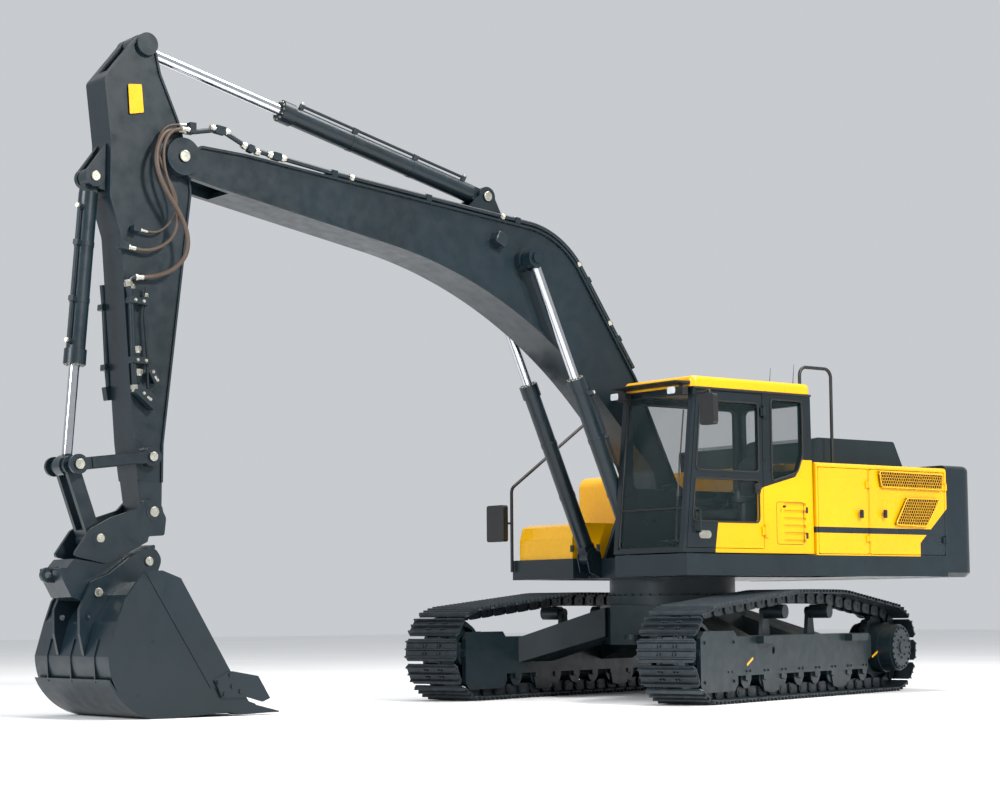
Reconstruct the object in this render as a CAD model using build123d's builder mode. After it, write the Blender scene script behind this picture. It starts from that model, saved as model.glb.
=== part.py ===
from build123d import *
import os
from math import atan2, cos, degrees, hypot, radians, sin, tan

# Crawler excavator of the 30 tonne class, in millimetres. +X is forward along the boom,
# +Y is the cab side, +Z is up. The origin is on the ground under the slewing axis.

# Undercarriage
SWING = 18.0  # how far the tracks stand turned under the upper structure, degrees
GAUGE = 2600.0  # between the two track centre lines
WHEELBASE = 4030.0  # idler to sprocket
SHOE_WIDTH = 600.0
SHOE_COUNT = 48
PITCH_RADIUS = 366.0  # of the link pins round idler and sprocket
LINK_TO_GROUND = 89.0  # link pins above the grouser tips
PLATE_TOP = 47.0  # link pins to the inner face of a shoe plate
PLATE = 14.0  # shoe plate thickness
RAIL_IN = 52.0  # link pins to the face that the rollers run on
RAIL_GAP = 120.0  # between the two rows of links
RAIL = 40.0  # thickness of a row of links
RUN = 0.3  # running clearance of fitted pieces
CARRIER_X = (250.0, -740.0)
CARRIER_PIN_Z = 969.0  # link pins over the carrier rollers
ROLLER_COUNT = 9
ROLLER_RADIUS = 82.0
FRAME_LOW, FRAME_HIGH = 342.0, 612.0
FRAME_HALF = 150.0  # half width of a track frame
BEARING_RADIUS = 640.0
BEARING_LOW = 1010.0

# Upper structure
DECK_LOW, DECK_HIGH = 1188.0, 1393.0
DECK_HALF = 1490.0
BODY_TOP = 2315.0
SHEET = 40.0  # depth of a folded panel or door
CAB_FRONT, CAB_REAR = 1190.0, -570.0
CAB_RIGHT, CAB_LEFT = 462.0, 1462.0
CAB_ROOF = 2985.0
CAB_TOP = CAB_ROOF + 105.0
CAB_LIFT = 12.0  # rubber mounts under the cab floor
TAIL_FRONT = -2520.0
SEAM_1, SEAM_2 = -600.0, -1340.0  # seams between the service doors

# Pins of the working gear, as (x, z)
FOOT = (250.0, 1980.0)
LIFT_BASE = (800.0, 1400.0)
LIFT_EYE = (2090.0, 4255.0)
TIP = (5883.0, 4817.0)
ARM_BASE = (2450.0, 4860.0)
ARM_EYE = (6212.0, 5777.0)
CURL_BASE = (6659.0, 4579.0)
GUIDE_PIN = (6159.0, 2194.0)
CURL_EYE = (6852.0, 2108.0)
ARM_TIP = (6118.0, 1727.0)
COUPLER_PIN = (6627.0, 1495.0)
BUCKET_FRONT_PIN = (6199.0, 1304.0)
BUCKET_REAR_PIN = (6672.0, 1042.0)

# Widths of the working gear, counted from its middle plane
BOOM_HALF = 245.0
ARM_HALF = 170.0
LIFT_Y = 366.0  # middle of a boom cylinder
GEAR_GAP = 8.0  # beside moving lugs
BUCKET_HALF = 660.0
BUCKET_PLATE = 30.0
LUG = 40.0


def placed(origin, across, normal, turn):
    """A sketch plane of the upper structure, or with a turn of the tracks."""
    return Plane(
        origin=Vector(*origin).rotate(Axis.Z, turn),
        x_dir=Vector(*across).rotate(Axis.Z, turn),
        z_dir=Vector(*normal).rotate(Axis.Z, turn),
    )


def side(x, z, y=0.0, aim=0.0, turn=0.0):
    """An upright plane along the machine: local x forward, turned up by aim, local y up."""
    a = radians(aim)
    return placed((x, y, z), (cos(a), 0, sin(a)), (0, -1, 0), turn)


def flat(z, x=0.0, y=0.0, turn=0.0):
    """A level plane: local x forward, local y to the left."""
    return placed((x, y, z), (1, 0, 0), (0, 0, 1), turn)


def front(x, y=0.0, z=0.0, turn=0.0):
    """An upright plane across the machine: local x to the left, local y up."""
    return placed((x, y, z), (0, 1, 0), (1, 0, 0), turn)


def angle(start, end):
    return degrees(atan2(end[1] - start[1], end[0] - start[0]))


def span(start, end):
    return hypot(end[0] - start[0], end[1] - start[1])


def local(origin, aim, point):
    """A pin's place in the frame of another pin whose x axis is turned up by aim."""
    dx, dz = point[0] - origin[0], point[1] - origin[1]
    a = radians(aim)
    return dx * cos(a) + dz * sin(a), dz * cos(a) - dx * sin(a)


os.makedirs("parts", exist_ok=True)

# The track chain follows the hull of idler, carrier rollers and sprocket
IDLER_X = WHEELBASE / 2
AXLE_Z = LINK_TO_GROUND + PITCH_RADIUS
CARRIER_RADIUS = 70.0
CARRIER_GAP = 6.0
CARRIER_Z = CARRIER_PIN_Z - RAIL_IN - CARRIER_GAP - CARRIER_RADIUS
IDLER_SHAFT = 60.0
GUARD_IN = RAIL_GAP / 2 + RAIL + 12.0  # inner face of the idler's guard plates
GUARD_PLATE = 43.0
GUARD_DEEP = 36.0  # seat of the idler's shaft in a guard plate
ROLLER_Z = LINK_TO_GROUND + RAIL_IN + RUN + ROLLER_RADIUS
with BuildSketch() as chain_run:
    with Locations((IDLER_X, AXLE_Z), (-IDLER_X, AXLE_Z)):
        Circle(PITCH_RADIUS)
    with Locations(*[(x, CARRIER_Z) for x in CARRIER_X]):
        Circle(CARRIER_PIN_Z - CARRIER_Z)
    make_hull()
CHAIN = chain_run.face().outer_wire()
PITCH = CHAIN.length / SHOE_COUNT


def chain_point(along, out):
    """A point of the chain, out from the line of the link pins."""
    place = CHAIN.position_at(along % CHAIN.length, position_mode=PositionMode.LENGTH)
    ahead = CHAIN.tangent_at(along % CHAIN.length, position_mode=PositionMode.LENGTH)
    return place.X + ahead.Y * out, place.Y - ahead.X * out


def shoe_outline():
    """Shoes end to end, each with three grousers, as one closed outline."""
    outer = LINK_TO_GROUND
    face = PLATE_TOP + PLATE
    # each grouser: its place on the shoe as a share of the pitch
    grousers = (0.16, 0.50, 0.84)
    points = []
    for shoe in range(SHOE_COUNT):
        middle = chain_point((shoe + 0.5) * PITCH, 0)
        ahead = CHAIN.tangent_at(((shoe + 0.5) * PITCH) % CHAIN.length, position_mode=PositionMode.LENGTH)
        for share in grousers:
            for step, out in ((-13, face), (0, outer), (13, face)):
                x = (share - 0.5) * PITCH + step
                across = (ahead.Y * out, -ahead.X * out)
                points.append((middle[0] + ahead.X * x + across[0], middle[1] + ahead.Y * x + across[1]))
    return points


def chain_loop(out):
    return [chain_point(shoe * PITCH, out) for shoe in range(SHOE_COUNT)]


for name, sign in (("left", 1), ("right", -1)):
    middle = sign * GAUGE / 2
    with BuildPart() as track:
        with BuildSketch(side(0, 0, middle, turn=SWING)):
            with BuildLine():
                Polyline(*shoe_outline(), close=True)
            make_face()
            with BuildLine():
                Polyline(*chain_loop(PLATE_TOP), close=True)
            make_face(mode=Mode.SUBTRACT)
        extrude(amount=SHOE_WIDTH / 2, both=True)
        for rail in (-1, 1):
            with BuildSketch(side(0, 0, middle + rail * (RAIL_GAP + RAIL) / 2, turn=SWING)):
                with BuildLine():
                    Polyline(*chain_loop(PLATE_TOP + PLATE / 2), close=True)
                make_face()
                with BuildLine():
                    Polyline(*chain_loop(-RAIL_IN), close=True)
                make_face(mode=Mode.SUBTRACT)
            extrude(amount=RAIL / 2, both=True)
    track.part.label = f"track_{name}"
    export_step(track.part, f"parts/track_{name}.step")

    # The idler's tread carries the rails and its middle flange runs between them
    tread = (PITCH_RADIUS - RAIL_IN) * cos(PITCH / 2 / PITCH_RADIUS) - RUN
    with BuildPart() as idler:
        with BuildSketch(side(IDLER_X, AXLE_Z, middle, turn=SWING)):
            Circle(tread)
        extrude(amount=RAIL_GAP / 2 + RAIL, both=True)
        with BuildSketch(side(IDLER_X, AXLE_Z, middle, turn=SWING)):
            Circle(tread + 30)
        extrude(amount=RAIL_GAP / 2 - 8, both=True)
        for face in (-1, 1):
            with BuildSketch(side(IDLER_X, AXLE_Z, middle + face * (RAIL_GAP / 2 + RAIL), turn=SWING)):
                Circle(tread - 35)
                Circle(110, mode=Mode.SUBTRACT)
            extrude(amount=face * 55, mode=Mode.SUBTRACT)
        with BuildSketch(side(IDLER_X, AXLE_Z, middle, turn=SWING)):
            Circle(IDLER_SHAFT)
        extrude(amount=GUARD_IN + GUARD_DEEP - RUN, both=True)
    idler.part.label = f"idler_{name}"
    export_step(idler.part, f"parts/idler_{name}.step")

    # Sprocket ring with its teeth between the rails, and the final drive's stepped cover
    teeth = 21
    root = PITCH_RADIUS - 32.0
    with BuildPart() as sprocket:
        with BuildSketch(side(-IDLER_X, AXLE_Z, middle, turn=SWING)):
            Circle(root)
            with PolarLocations(0, teeth):
                with Locations((root, 0)):
                    Trapezoid(62, 44, 68, rotation=-90)
        extrude(amount=(RAIL_GAP - 50) / 2, both=True)
        # each step of the drive: radius, where it starts and ends, outward from the track's middle
        for radius, start, end in ((262, -150, 150), (244, 150, 292), (228, 292, 318), (60, 318, 330)):
            with BuildSketch(side(-IDLER_X, AXLE_Z, middle + sign * start, turn=SWING)):
                Circle(radius)
            extrude(amount=-sign * (end - start))
    sprocket.part.label = f"sprocket_{name}"
    export_step(sprocket.part, f"parts/sprocket_{name}.step")

    # Track frame: a box beam with guard plates round the idler, a drive plate and its rollers
    with BuildPart() as frame:
        with BuildSketch(side(0, 0, middle, turn=SWING)):
            with BuildLine():
                Polyline(
                    (-1620, FRAME_LOW + 30),
                    (-1560, FRAME_LOW),
                    (1480, FRAME_LOW),
                    (1560, FRAME_LOW + 40),
                    (1560, FRAME_HIGH - 60),
                    (1480, FRAME_HIGH),
                    (-1560, FRAME_HIGH),
                    (-1620, FRAME_HIGH - 30),
                    close=True,
                )
            make_face()
        extrude(amount=FRAME_HALF, both=True)
        # bracket plates that hold the rollers from both sides
        first = IDLER_X - 520.0
        step = (2 * IDLER_X - 520.0 - 560.0) / (ROLLER_COUNT - 1)
        roller_x = [first - number * step for number in range(ROLLER_COUNT)]
        for face in (-1, 1):
            near = middle + face * (RAIL_GAP / 2 + RAIL + 24)
            with BuildSketch(side(0, 0, near, turn=SWING)):
                with Locations(((roller_x[0] + roller_x[-1]) / 2, 300)):
                    Rectangle(roller_x[0] - roller_x[-1] + 160, 110)
                with Locations(*[(x, ROLLER_Z + 20) for x in roller_x]):
                    Rectangle(110, 90)
            extrude(amount=-face * 26)
        # lower rollers: half width and radius of body, flange and shaft
        for half, radius in (
            (RAIL_GAP / 2 + RAIL + 4, ROLLER_RADIUS),
            (FRAME_HALF, 34.0),
        ):
            with BuildSketch(side(0, 0, middle, turn=SWING)):
                with Locations(*[(x, ROLLER_Z) for x in roller_x]):
                    Circle(radius)
            extrude(amount=half, both=True)
        for face in (-1, 1):
            with BuildSketch(side(0, 0, middle + face * (RAIL_GAP / 2 + RAIL + 4), turn=SWING)):
                with Locations(*[(x, ROLLER_Z) for x in roller_x]):
                    Circle(ROLLER_RADIUS + 20)
            extrude(amount=-face * 18)
        # chain guards that hang outside the links: middles along the frame
        for face in (-1, 1):
            with BuildSketch(side(0, 0, middle + face * GUARD_IN, turn=SWING)):
                for x in (630, -880):
                    with BuildLine():
                        Polyline(
                            (x - 210, 260), (x - 150, 90), (x - 60, 75),
                            (x + 60, 75), (x + 150, 90), (x + 210, 260),
                            close=True,
                        )
                    make_face()
            extrude(amount=-face * 24)
        # guard plates either side of the idler, with a blind seat for its shaft
        for face in (-1, 1):
            with BuildSketch(side(0, 0, middle + face * GUARD_IN, turn=SWING)) as guard:
                with BuildLine():
                    high = FRAME_HIGH + 53
                    Polyline((1345, 105), (2060, 105), (2060, high), (1345, high), close=True)
                make_face()
                chamfer(guard.vertices(), 65)
            extrude(amount=-face * GUARD_PLATE)
            with BuildSketch(side(IDLER_X, AXLE_Z, middle + face * GUARD_IN, turn=SWING)):
                Circle(IDLER_SHAFT + RUN)
            extrude(amount=-face * GUARD_DEEP, mode=Mode.SUBTRACT)
        # steps on the outer face and the drain hole of the track adjuster
        with BuildSketch(side(0, 0, middle + sign * (FRAME_HALF - 5), turn=SWING)):
            with Locations((755, FRAME_HIGH - 38), (-1200, FRAME_HIGH - 38)):
                Rectangle(390, 70)
        extrude(amount=-sign * 80)
        with BuildSketch(side(606, 468, middle + sign * FRAME_HALF, turn=SWING)):
            Ellipse(28, 38)
        extrude(amount=sign * 60, mode=Mode.SUBTRACT)
        # carrier rollers on brackets over the frame's inner side
        for x in CARRIER_X:
            with BuildSketch(side(x, CARRIER_Z, middle, turn=SWING)):
                Circle(CARRIER_RADIUS)
            extrude(amount=RAIL_GAP / 2 + RAIL + 6, both=True)
            with BuildSketch(side(x, CARRIER_Z, middle - sign * (RAIL_GAP / 2 + RAIL), turn=SWING)):
                Circle(46)
            extrude(amount=sign * 60)
            with BuildSketch(side(x, FRAME_HIGH, middle - sign * (FRAME_HALF - 20), turn=SWING)):
                with BuildLine():
                    Polyline(
                        (-85, -10),
                        (85, -10),
                        (50, CARRIER_Z - FRAME_HIGH),
                        (-50, CARRIER_Z - FRAME_HIGH),
                        close=True,
                    )
                make_face()
                with Locations((0, CARRIER_Z - FRAME_HIGH)):
                    Circle(50)
            extrude(amount=20, both=True)
        # drive plate on the inner side, round the motor
        with BuildSketch(side(0, 0, middle - sign * (FRAME_HALF + RUN), turn=SWING)):
            with Locations((-1750, AXLE_Z)):
                Rectangle(420, 300)
            with Locations((-IDLER_X, AXLE_Z)):
                Circle(250)
        extrude(amount=sign * 40)
        with BuildSketch(side(0, 0, middle - sign * (FRAME_HALF + RUN), turn=SWING)):
            with Locations((-1640, AXLE_Z + 10)):
                Rectangle(180, 230)
        extrude(amount=-sign * 60)
    frame.part.label = f"track_frame_{name}"
    export_step(frame.part, f"parts/track_frame_{name}.step")

# Centre frame: a ring tower on four box legs that land on the track frames, with a tow eye
# lying flat at its front and rear
REACH = GAUGE / 2 - FRAME_HALF - RUN
TOWER_TOP = BEARING_LOW - RUN
TOWER_HALF = 650.0
TOW_HOLE = 90.0
TOW_OUT, TOW_Z = 150.0, 600.0
TOW_PLATE = 44.0
with BuildPart() as center_frame:
    with BuildSketch(flat(FRAME_HIGH - 90, turn=SWING)):
        Rectangle(2 * TOWER_HALF, 2 * TOWER_HALF)
        chamfer(vertices(), 300)
    extrude(amount=TOWER_TOP - FRAME_HIGH)
    with BuildSketch(flat(TOWER_TOP - 90)):
        Circle(BEARING_RADIUS + 30)
    extrude(amount=90)
    for x, y in ((1, 1), (1, -1), (-1, 1), (-1, -1)):
        with BuildSketch(side(x * 420, 750, y * 420, turn=SWING)):
            Rectangle(440, 290)
        with BuildSketch(side(x * 800, (FRAME_LOW + FRAME_HIGH) / 2, y * REACH, turn=SWING)):
            Rectangle(640, FRAME_HIGH - FRAME_LOW - 20)
        loft()
    for end in (-1, 1):
        with BuildSketch(flat(TOW_Z - TOW_PLATE / 2, end * (TOWER_HALF + TOW_OUT), 0, turn=SWING)):
            with Locations((-end * (TOW_OUT + 20) / 2, 0)):
                Rectangle(TOW_OUT + 20, 180)
            Circle(90)
            Circle(TOW_HOLE / 2, mode=Mode.SUBTRACT)
        extrude(amount=TOW_PLATE)
center_frame.part.label = "center_frame"
export_step(center_frame.part, "parts/center_frame.step")

with BuildPart() as swing_bearing:
    with BuildSketch(flat(BEARING_LOW)):
        Circle(BEARING_RADIUS)
        Circle(BEARING_RADIUS - 110, mode=Mode.SUBTRACT)
    extrude(amount=DECK_LOW - RUN - BEARING_LOW)
swing_bearing.part.label = "swing_bearing"
export_step(swing_bearing.part, "parts/swing_bearing.step")

# Revolving deck: an edged platform, stiff down the middle, with the lugs of boom and cylinders
DECK_FRONT_RIGHT = 900.0
DECK_FRONT_MIDDLE = 700.0
LUG_INNER = BOOM_HALF + 45.0  # face of the boom foot
FOOT_PIN = 55.0
LIFT_PIN = 48.0
LIFT_EYE_WIDE = 130.0
with BuildPart() as deck:
    with BuildSketch(flat(DECK_LOW)):
        with BuildLine():
            Polyline(
                (TAIL_FRONT + RUN, -DECK_HALF),
                (DECK_FRONT_RIGHT, -DECK_HALF),
                (DECK_FRONT_RIGHT, -500),
                (DECK_FRONT_MIDDLE, -480),
                (DECK_FRONT_MIDDLE, CAB_RIGHT),
                (CAB_FRONT - 20, CAB_RIGHT),
                (CAB_FRONT - 20, DECK_HALF),
                (TAIL_FRONT + RUN, DECK_HALF),
                close=True,
            )
        make_face()
    extrude(amount=DECK_HIGH - DECK_LOW)
    # open from below either side of the middle beams
    with BuildSketch(flat(DECK_LOW)):
        with Locations((-300, 1090), (-300, -1090)):
            Rectangle(2000, 680)
    extrude(amount=DECK_HIGH - DECK_LOW - 30, mode=Mode.SUBTRACT)
    # foot lugs, one plate each side of the boom foot
    for y in (-1, 1):
        with BuildSketch(side(0, 0, y * (LUG_INNER + GEAR_GAP))):
            with BuildLine():
                Polyline(
                    (-540, DECK_HIGH - 20),
                    (650, DECK_HIGH - 20),
                    (FOOT[0] + 150, FOOT[1] - 40),
                    (FOOT[0] - 150, FOOT[1] + 40),
                    (-500, DECK_HIGH + 160),
                    close=True,
                )
            make_face()
            with Locations(FOOT):
                Circle(150)
                Circle(FOOT_PIN + RUN, mode=Mode.SUBTRACT)
        extrude(amount=-y * LUG)
    # rubber-mount pads under the cab
    with BuildSketch(flat(DECK_HIGH)):
        corners = [
            (x, y) for x in (CAB_REAR + 130, CAB_FRONT - 160) for y in (CAB_RIGHT + 130, CAB_LEFT - 130)
        ]
        with Locations(*corners):
            Circle(75)
    extrude(amount=CAB_LIFT - RUN)
deck.part.label = "deck"
export_step(deck.part, "parts/deck.step")

# Cylinder brackets in front of the deck, two plates for each boom cylinder, and the foot pins
with BuildPart() as lift_brackets:
    for middle in (-LIFT_Y, LIFT_Y):
        for face in (-1, 1):
            near = middle + face * (LIFT_EYE_WIDE / 2 + 2)
            with BuildSketch(side(0, 0, near)):
                with BuildLine():
                    Polyline(
                        (DECK_FRONT_MIDDLE + RUN, DECK_LOW + 5),
                        (LIFT_BASE[0] + 60, DECK_LOW + 60),
                        (LIFT_BASE[0] + 95, LIFT_BASE[1]),
                        (LIFT_BASE[0], LIFT_BASE[1] + 95),
                        (DECK_FRONT_MIDDLE + RUN, DECK_HIGH),
                        close=True,
                    )
                make_face()
                with Locations(LIFT_BASE):
                    Circle(95)
            extrude(amount=-face * 14)
        with BuildSketch(side(DECK_FRONT_MIDDLE + RUN + 10, DECK_LOW + 65, middle)):
            Rectangle(20, 120)
        extrude(amount=LIFT_EYE_WIDE / 2 + 12, both=True)
        with BuildSketch(side(*LIFT_BASE, middle)):
            Circle(LIFT_PIN)
        extrude(amount=LIFT_EYE_WIDE / 2 + 22, both=True)
    # the boom's foot pin
    with BuildSketch(side(*FOOT)):
        Circle(FOOT_PIN)
    extrude(amount=LUG_INNER + GEAR_GAP + LUG + 15, both=True)
lift_brackets.part.label = "lift_brackets"
export_step(lift_brackets.part, "parts/lift_brackets.step")

# Counterweight: one casting, round behind, with a tapered lower edge
CW_LOW, CW_TOP = DECK_LOW - 3.0, 2350.0
CW_MIDDLE_X, CW_CORNER_X = -3150.0, -2930.0
with BuildPart() as counterweight:
    with BuildSketch(flat(CW_LOW)) as casting:
        with BuildLine():
            ThreePointArc((CW_CORNER_X, DECK_HALF), (CW_MIDDLE_X, 0), (CW_CORNER_X, -DECK_HALF))
            Polyline(
                (CW_CORNER_X, -DECK_HALF),
                (TAIL_FRONT, -DECK_HALF),
                (TAIL_FRONT, DECK_HALF),
                (CW_CORNER_X, DECK_HALF),
            )
        make_face()
        fillet(casting.vertices().group_by(Axis.X)[0], 170)
    extrude(amount=CW_TOP - CW_LOW)
    fillet(counterweight.faces().sort_by(Axis.Z)[-1].edges().sort_by(Axis.X)[:5], 60)
    chamfer(counterweight.faces().sort_by(Axis.Z)[0].edges().sort_by(Axis.X)[:5], 45)
counterweight.part.label = "counterweight"
export_step(counterweight.part, "parts/counterweight.step")

# Engine with its pumps as one block, and the cooler pack beside it
with BuildPart() as engine:
    with BuildSketch(flat(DECK_HIGH + RUN, -1980)):
        Rectangle(760, 1300)
    extrude(amount=850)
    # coolers behind the mesh of the rear service door
    with BuildSketch(flat(DECK_HIGH + RUN, -1930, 1180)):
        Rectangle(900, 160)
    extrude(amount=820)
engine.part.label = "engine"
export_step(engine.part, "parts/engine.step")

# Bodywork behind the cab: a shell open below, to the service doors and under the hood
HOUSE_FRONT = SEAM_1 + 20.0
HOOD_FRONT, HOOD_REAR = -840.0, -2360.0
HOOD_RIGHT, HOOD_LEFT = -760.0, 1040.0
HOOD_TOP = 2610.0
DOOR_LOW, DOOR_TOP = DECK_HIGH + 12.0, BODY_TOP - 45.0
POST_WIDE = 30.0
SEAM = 6.0
PUMP_FRONT = -1500.0
HINGE_PIN = 9.0
BARREL = HINGE_PIN + 8.0
HINGE_OUT = BARREL + 2.0
HINGE_Z = (DOOR_LOW + 160, DOOR_TOP - 160)

# doors: name, side, front edge, rear edge
doors = (
    ("service_door_front", 1, SEAM_1 - SEAM, SEAM_2 + SEAM),
    ("service_door_rear", 1, SEAM_2 - SEAM, TAIL_FRONT + POST_WIDE),
    ("service_door_right", -1, PUMP_FRONT - SEAM, TAIL_FRONT + POST_WIDE),
)
HOOD_HINGE = (HOOD_FRONT + 20.0, BODY_TOP + 16.0)
HOOD_HINGE_Y = (HOOD_RIGHT + 300.0, HOOD_LEFT - 300.0)
with BuildPart() as house_body:
    with BuildSketch(flat(DECK_HIGH + RUN)):
        with Locations(((TAIL_FRONT + HOUSE_FRONT) / 2, 0)):
            Rectangle(HOUSE_FRONT - TAIL_FRONT - 2 * RUN, 2 * DECK_HALF)
    extrude(amount=BODY_TOP - DECK_HIGH - RUN)
    fillet(house_body.edges().filter_by(Axis.X).group_by(Axis.Z)[-1], 35)
    with BuildSketch(flat(DECK_HIGH)):
        with Locations(((TAIL_FRONT + HOUSE_FRONT) / 2, 0)):
            Rectangle(HOUSE_FRONT - TAIL_FRONT - 2 * SHEET, 2 * (DECK_HALF - SHEET))
    extrude(amount=BODY_TOP - 40 - DECK_HIGH, mode=Mode.SUBTRACT)
    # hood opening
    with BuildSketch(flat(BODY_TOP - 60, (HOOD_FRONT + HOOD_REAR) / 2, (HOOD_LEFT + HOOD_RIGHT) / 2)):
        Rectangle(HOOD_FRONT - HOOD_REAR - 160, HOOD_LEFT - HOOD_RIGHT - 160)
    extrude(amount=100, mode=Mode.SUBTRACT)
    # door openings: side, front edge, rear edge
    for y, ahead, behind in (
        (1, SEAM_1 - SEAM, SEAM_2 + SEAM),
        (1, SEAM_2 - SEAM, TAIL_FRONT + POST_WIDE),
        (-1, PUMP_FRONT - SEAM, TAIL_FRONT + POST_WIDE),
    ):
        with BuildSketch(side((ahead + behind) / 2, (DOOR_LOW + DOOR_TOP) / 2, y * (DECK_HALF + 1))):
            Rectangle(ahead - behind, DOOR_TOP - DOOR_LOW)
        extrude(amount=y * (SHEET + 10), mode=Mode.SUBTRACT)
    # hinge pins of the service doors on tabs, clear of the doors' turning edges
    for name, y, ahead, behind in doors:
        for z in HINGE_Z:
            with BuildSketch(flat(z - 36, behind + SEAM, y * (DECK_HALF + HINGE_OUT))):
                Circle(HINGE_PIN)
            extrude(amount=80)
            with BuildSketch(flat(z + 30 + RUN, behind + SEAM, y * (DECK_HALF + HINGE_OUT))):
                Circle(13)
                with Locations((-11, -y * (HINGE_OUT + 1) / 2)):
                    Rectangle(22, HINGE_OUT + 1)
            extrude(amount=14)
    # hinge pins of the hood
    for y in HOOD_HINGE_Y:
        with BuildSketch(side(*HOOD_HINGE, y)):
            Circle(HINGE_PIN)
        extrude(amount=62, both=True)
        for end in (-1, 1):
            with BuildSketch(side(HOOD_HINGE[0], BODY_TOP - 1, y + end * 41)):
                with Locations((0, 15)):
                    Rectangle(30, 30)
            extrude(amount=-end * 18)
house_body.part.label = "house_body"
export_step(house_body.part, "parts/house_body.step")

# Service doors on vertical hinges along their rear edges
for name, y, ahead, behind in doors:
    with BuildPart() as door:
        with BuildSketch(side((ahead + behind) / 2, (DOOR_LOW + DOOR_TOP) / 2, y * DECK_HALF)):
            RectangleRounded(ahead - behind - 2 * SEAM, DOOR_TOP - DOOR_LOW - 2 * SEAM, 25)
        extrude(amount=y * SHEET)
        for z in HINGE_Z:
            with BuildSketch(flat(z - 30, behind + SEAM, y * (DECK_HALF + HINGE_OUT))):
                Circle(BARREL)
                with Locations((22, -y * HINGE_OUT / 2)):
                    Rectangle(44, HINGE_OUT)
            extrude(amount=60)
            with BuildSketch(flat(z - 31, behind + SEAM, y * (DECK_HALF + HINGE_OUT))):
                Circle(HINGE_PIN + RUN)
            extrude(amount=62, mode=Mode.SUBTRACT)
        if name == "service_door_rear":
            # two mesh windows: corners from the upper front edge round, as (x, z)
            for corners in (
                ((-1470, 2250), (-2440, 2240), (-2420, 2085), (-1500, 2092)),
                ((-1880, 1985), (-2380, 1985), (-2170, 1700), (-1700, 1715)),
            ):
                with BuildSketch(side(0, 0, y * DECK_HALF)):
                    with BuildLine():
                        Polyline(*corners, close=True)
                    make_face()
                extrude(amount=y * 14, mode=Mode.SUBTRACT)
    door.part.label = name
    export_step(door.part, f"parts/{name}.step")

# Engine hood: a raised lid with sloped ends, hinged along its front edge
with BuildPart() as hood:
    with BuildSketch(side(0, 0, HOOD_RIGHT)):
        with BuildLine():
            Polyline(
                (HOOD_FRONT, BODY_TOP + 5),
                (HOOD_FRONT, HOOD_TOP - 60),
                (HOOD_FRONT - 250, HOOD_TOP),
                (HOOD_REAR + 130, HOOD_TOP),
                (HOOD_REAR, BODY_TOP + 40),
                (HOOD_REAR, BODY_TOP + 5),
                close=True,
            )
        make_face()
    extrude(amount=-(HOOD_LEFT - HOOD_RIGHT))
    fillet(hood.edges().filter_by(Axis.Y).group_by(Axis.Z)[-1], 40)
    with BuildSketch(side(0, 0, HOOD_RIGHT + 30)):
        with BuildLine():
            Polyline(
                (HOOD_FRONT - 30, BODY_TOP),
                (HOOD_FRONT - 30, HOOD_TOP - 90),
                (HOOD_FRONT - 250, HOOD_TOP - 30),
                (HOOD_REAR + 140, HOOD_TOP - 30),
                (HOOD_REAR + 30, BODY_TOP + 40),
                (HOOD_REAR + 30, BODY_TOP),
                close=True,
            )
        make_face()
    extrude(amount=-(HOOD_LEFT - HOOD_RIGHT - 60), mode=Mode.SUBTRACT)
    for y in HOOD_HINGE_Y:
        with BuildSketch(side(*HOOD_HINGE, y)):
            Circle(16)
            with Locations((-16, 4)):
                Rectangle(32, 18)
        extrude(amount=40, both=True)
        with BuildSketch(side(*HOOD_HINGE, y)):
            Circle(HINGE_PIN + RUN)
        extrude(amount=41, both=True, mode=Mode.SUBTRACT)
hood.part.label = "hood"
export_step(hood.part, "parts/hood.step")

# Fuel and oil tanks on the right, one box with a rounded front
TANK_FRONT, TANK_TOP = 0.0, 2290.0
TANK_LEFT = -545.0
with BuildPart() as tanks:
    with BuildSketch(flat(DECK_HIGH + RUN, (TANK_FRONT + HOUSE_FRONT + RUN) / 2, (TANK_LEFT - DECK_HALF) / 2)):
        Rectangle(TANK_FRONT - HOUSE_FRONT - RUN, TANK_LEFT + DECK_HALF)
    extrude(amount=TANK_TOP - DECK_HIGH - RUN)
    fillet(tanks.edges().filter_by(Axis.Y).group_by(Axis.Z)[-1].sort_by(Axis.X)[-1], 120)
    fillet(tanks.edges().filter_by(Axis.Z).group_by(Axis.X)[-1], 40)
tanks.part.label = "tanks"
export_step(tanks.part, "parts/tanks.step")

# Tool box in front of the tanks, with a lid rounded in front
BOX_FRONT, BOX_REAR = 870.0, 250.0
BOX_LEFT, BOX_RIGHT = -545.0, -1405.0
BOX_SPLIT, BOX_TOP = 1600.0, 1762.0
BOX_HINGE = (BOX_REAR - 10.0, BOX_SPLIT + 20.0)
BOX_WALL = 25.0
with BuildPart() as tool_box:
    with BuildSketch(flat(DECK_HIGH + RUN, (BOX_FRONT + BOX_REAR) / 2, (BOX_LEFT + BOX_RIGHT) / 2)):
        Rectangle(BOX_FRONT - BOX_REAR, BOX_LEFT - BOX_RIGHT)
    extrude(amount=BOX_SPLIT - DECK_HIGH - RUN)
    with BuildSketch(flat(DECK_HIGH + RUN + BOX_WALL, (BOX_FRONT + BOX_REAR) / 2, (BOX_LEFT + BOX_RIGHT) / 2)):
        Rectangle(BOX_FRONT - BOX_REAR - 2 * BOX_WALL, BOX_LEFT - BOX_RIGHT - 2 * BOX_WALL)
    extrude(amount=BOX_SPLIT, mode=Mode.SUBTRACT)
    for y in (BOX_RIGHT + 160, BOX_LEFT - 160):
        with BuildSketch(side(BOX_HINGE[0] - 4, BOX_SPLIT, y)):
            with Locations((0, -20)):
                Rectangle(28, 60)
            with Locations((4, 20)):
                Circle(14)
        extrude(amount=12, both=True)
        with BuildSketch(side(*BOX_HINGE, y)):
            Circle(7)
        extrude(amount=40, both=True)
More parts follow.
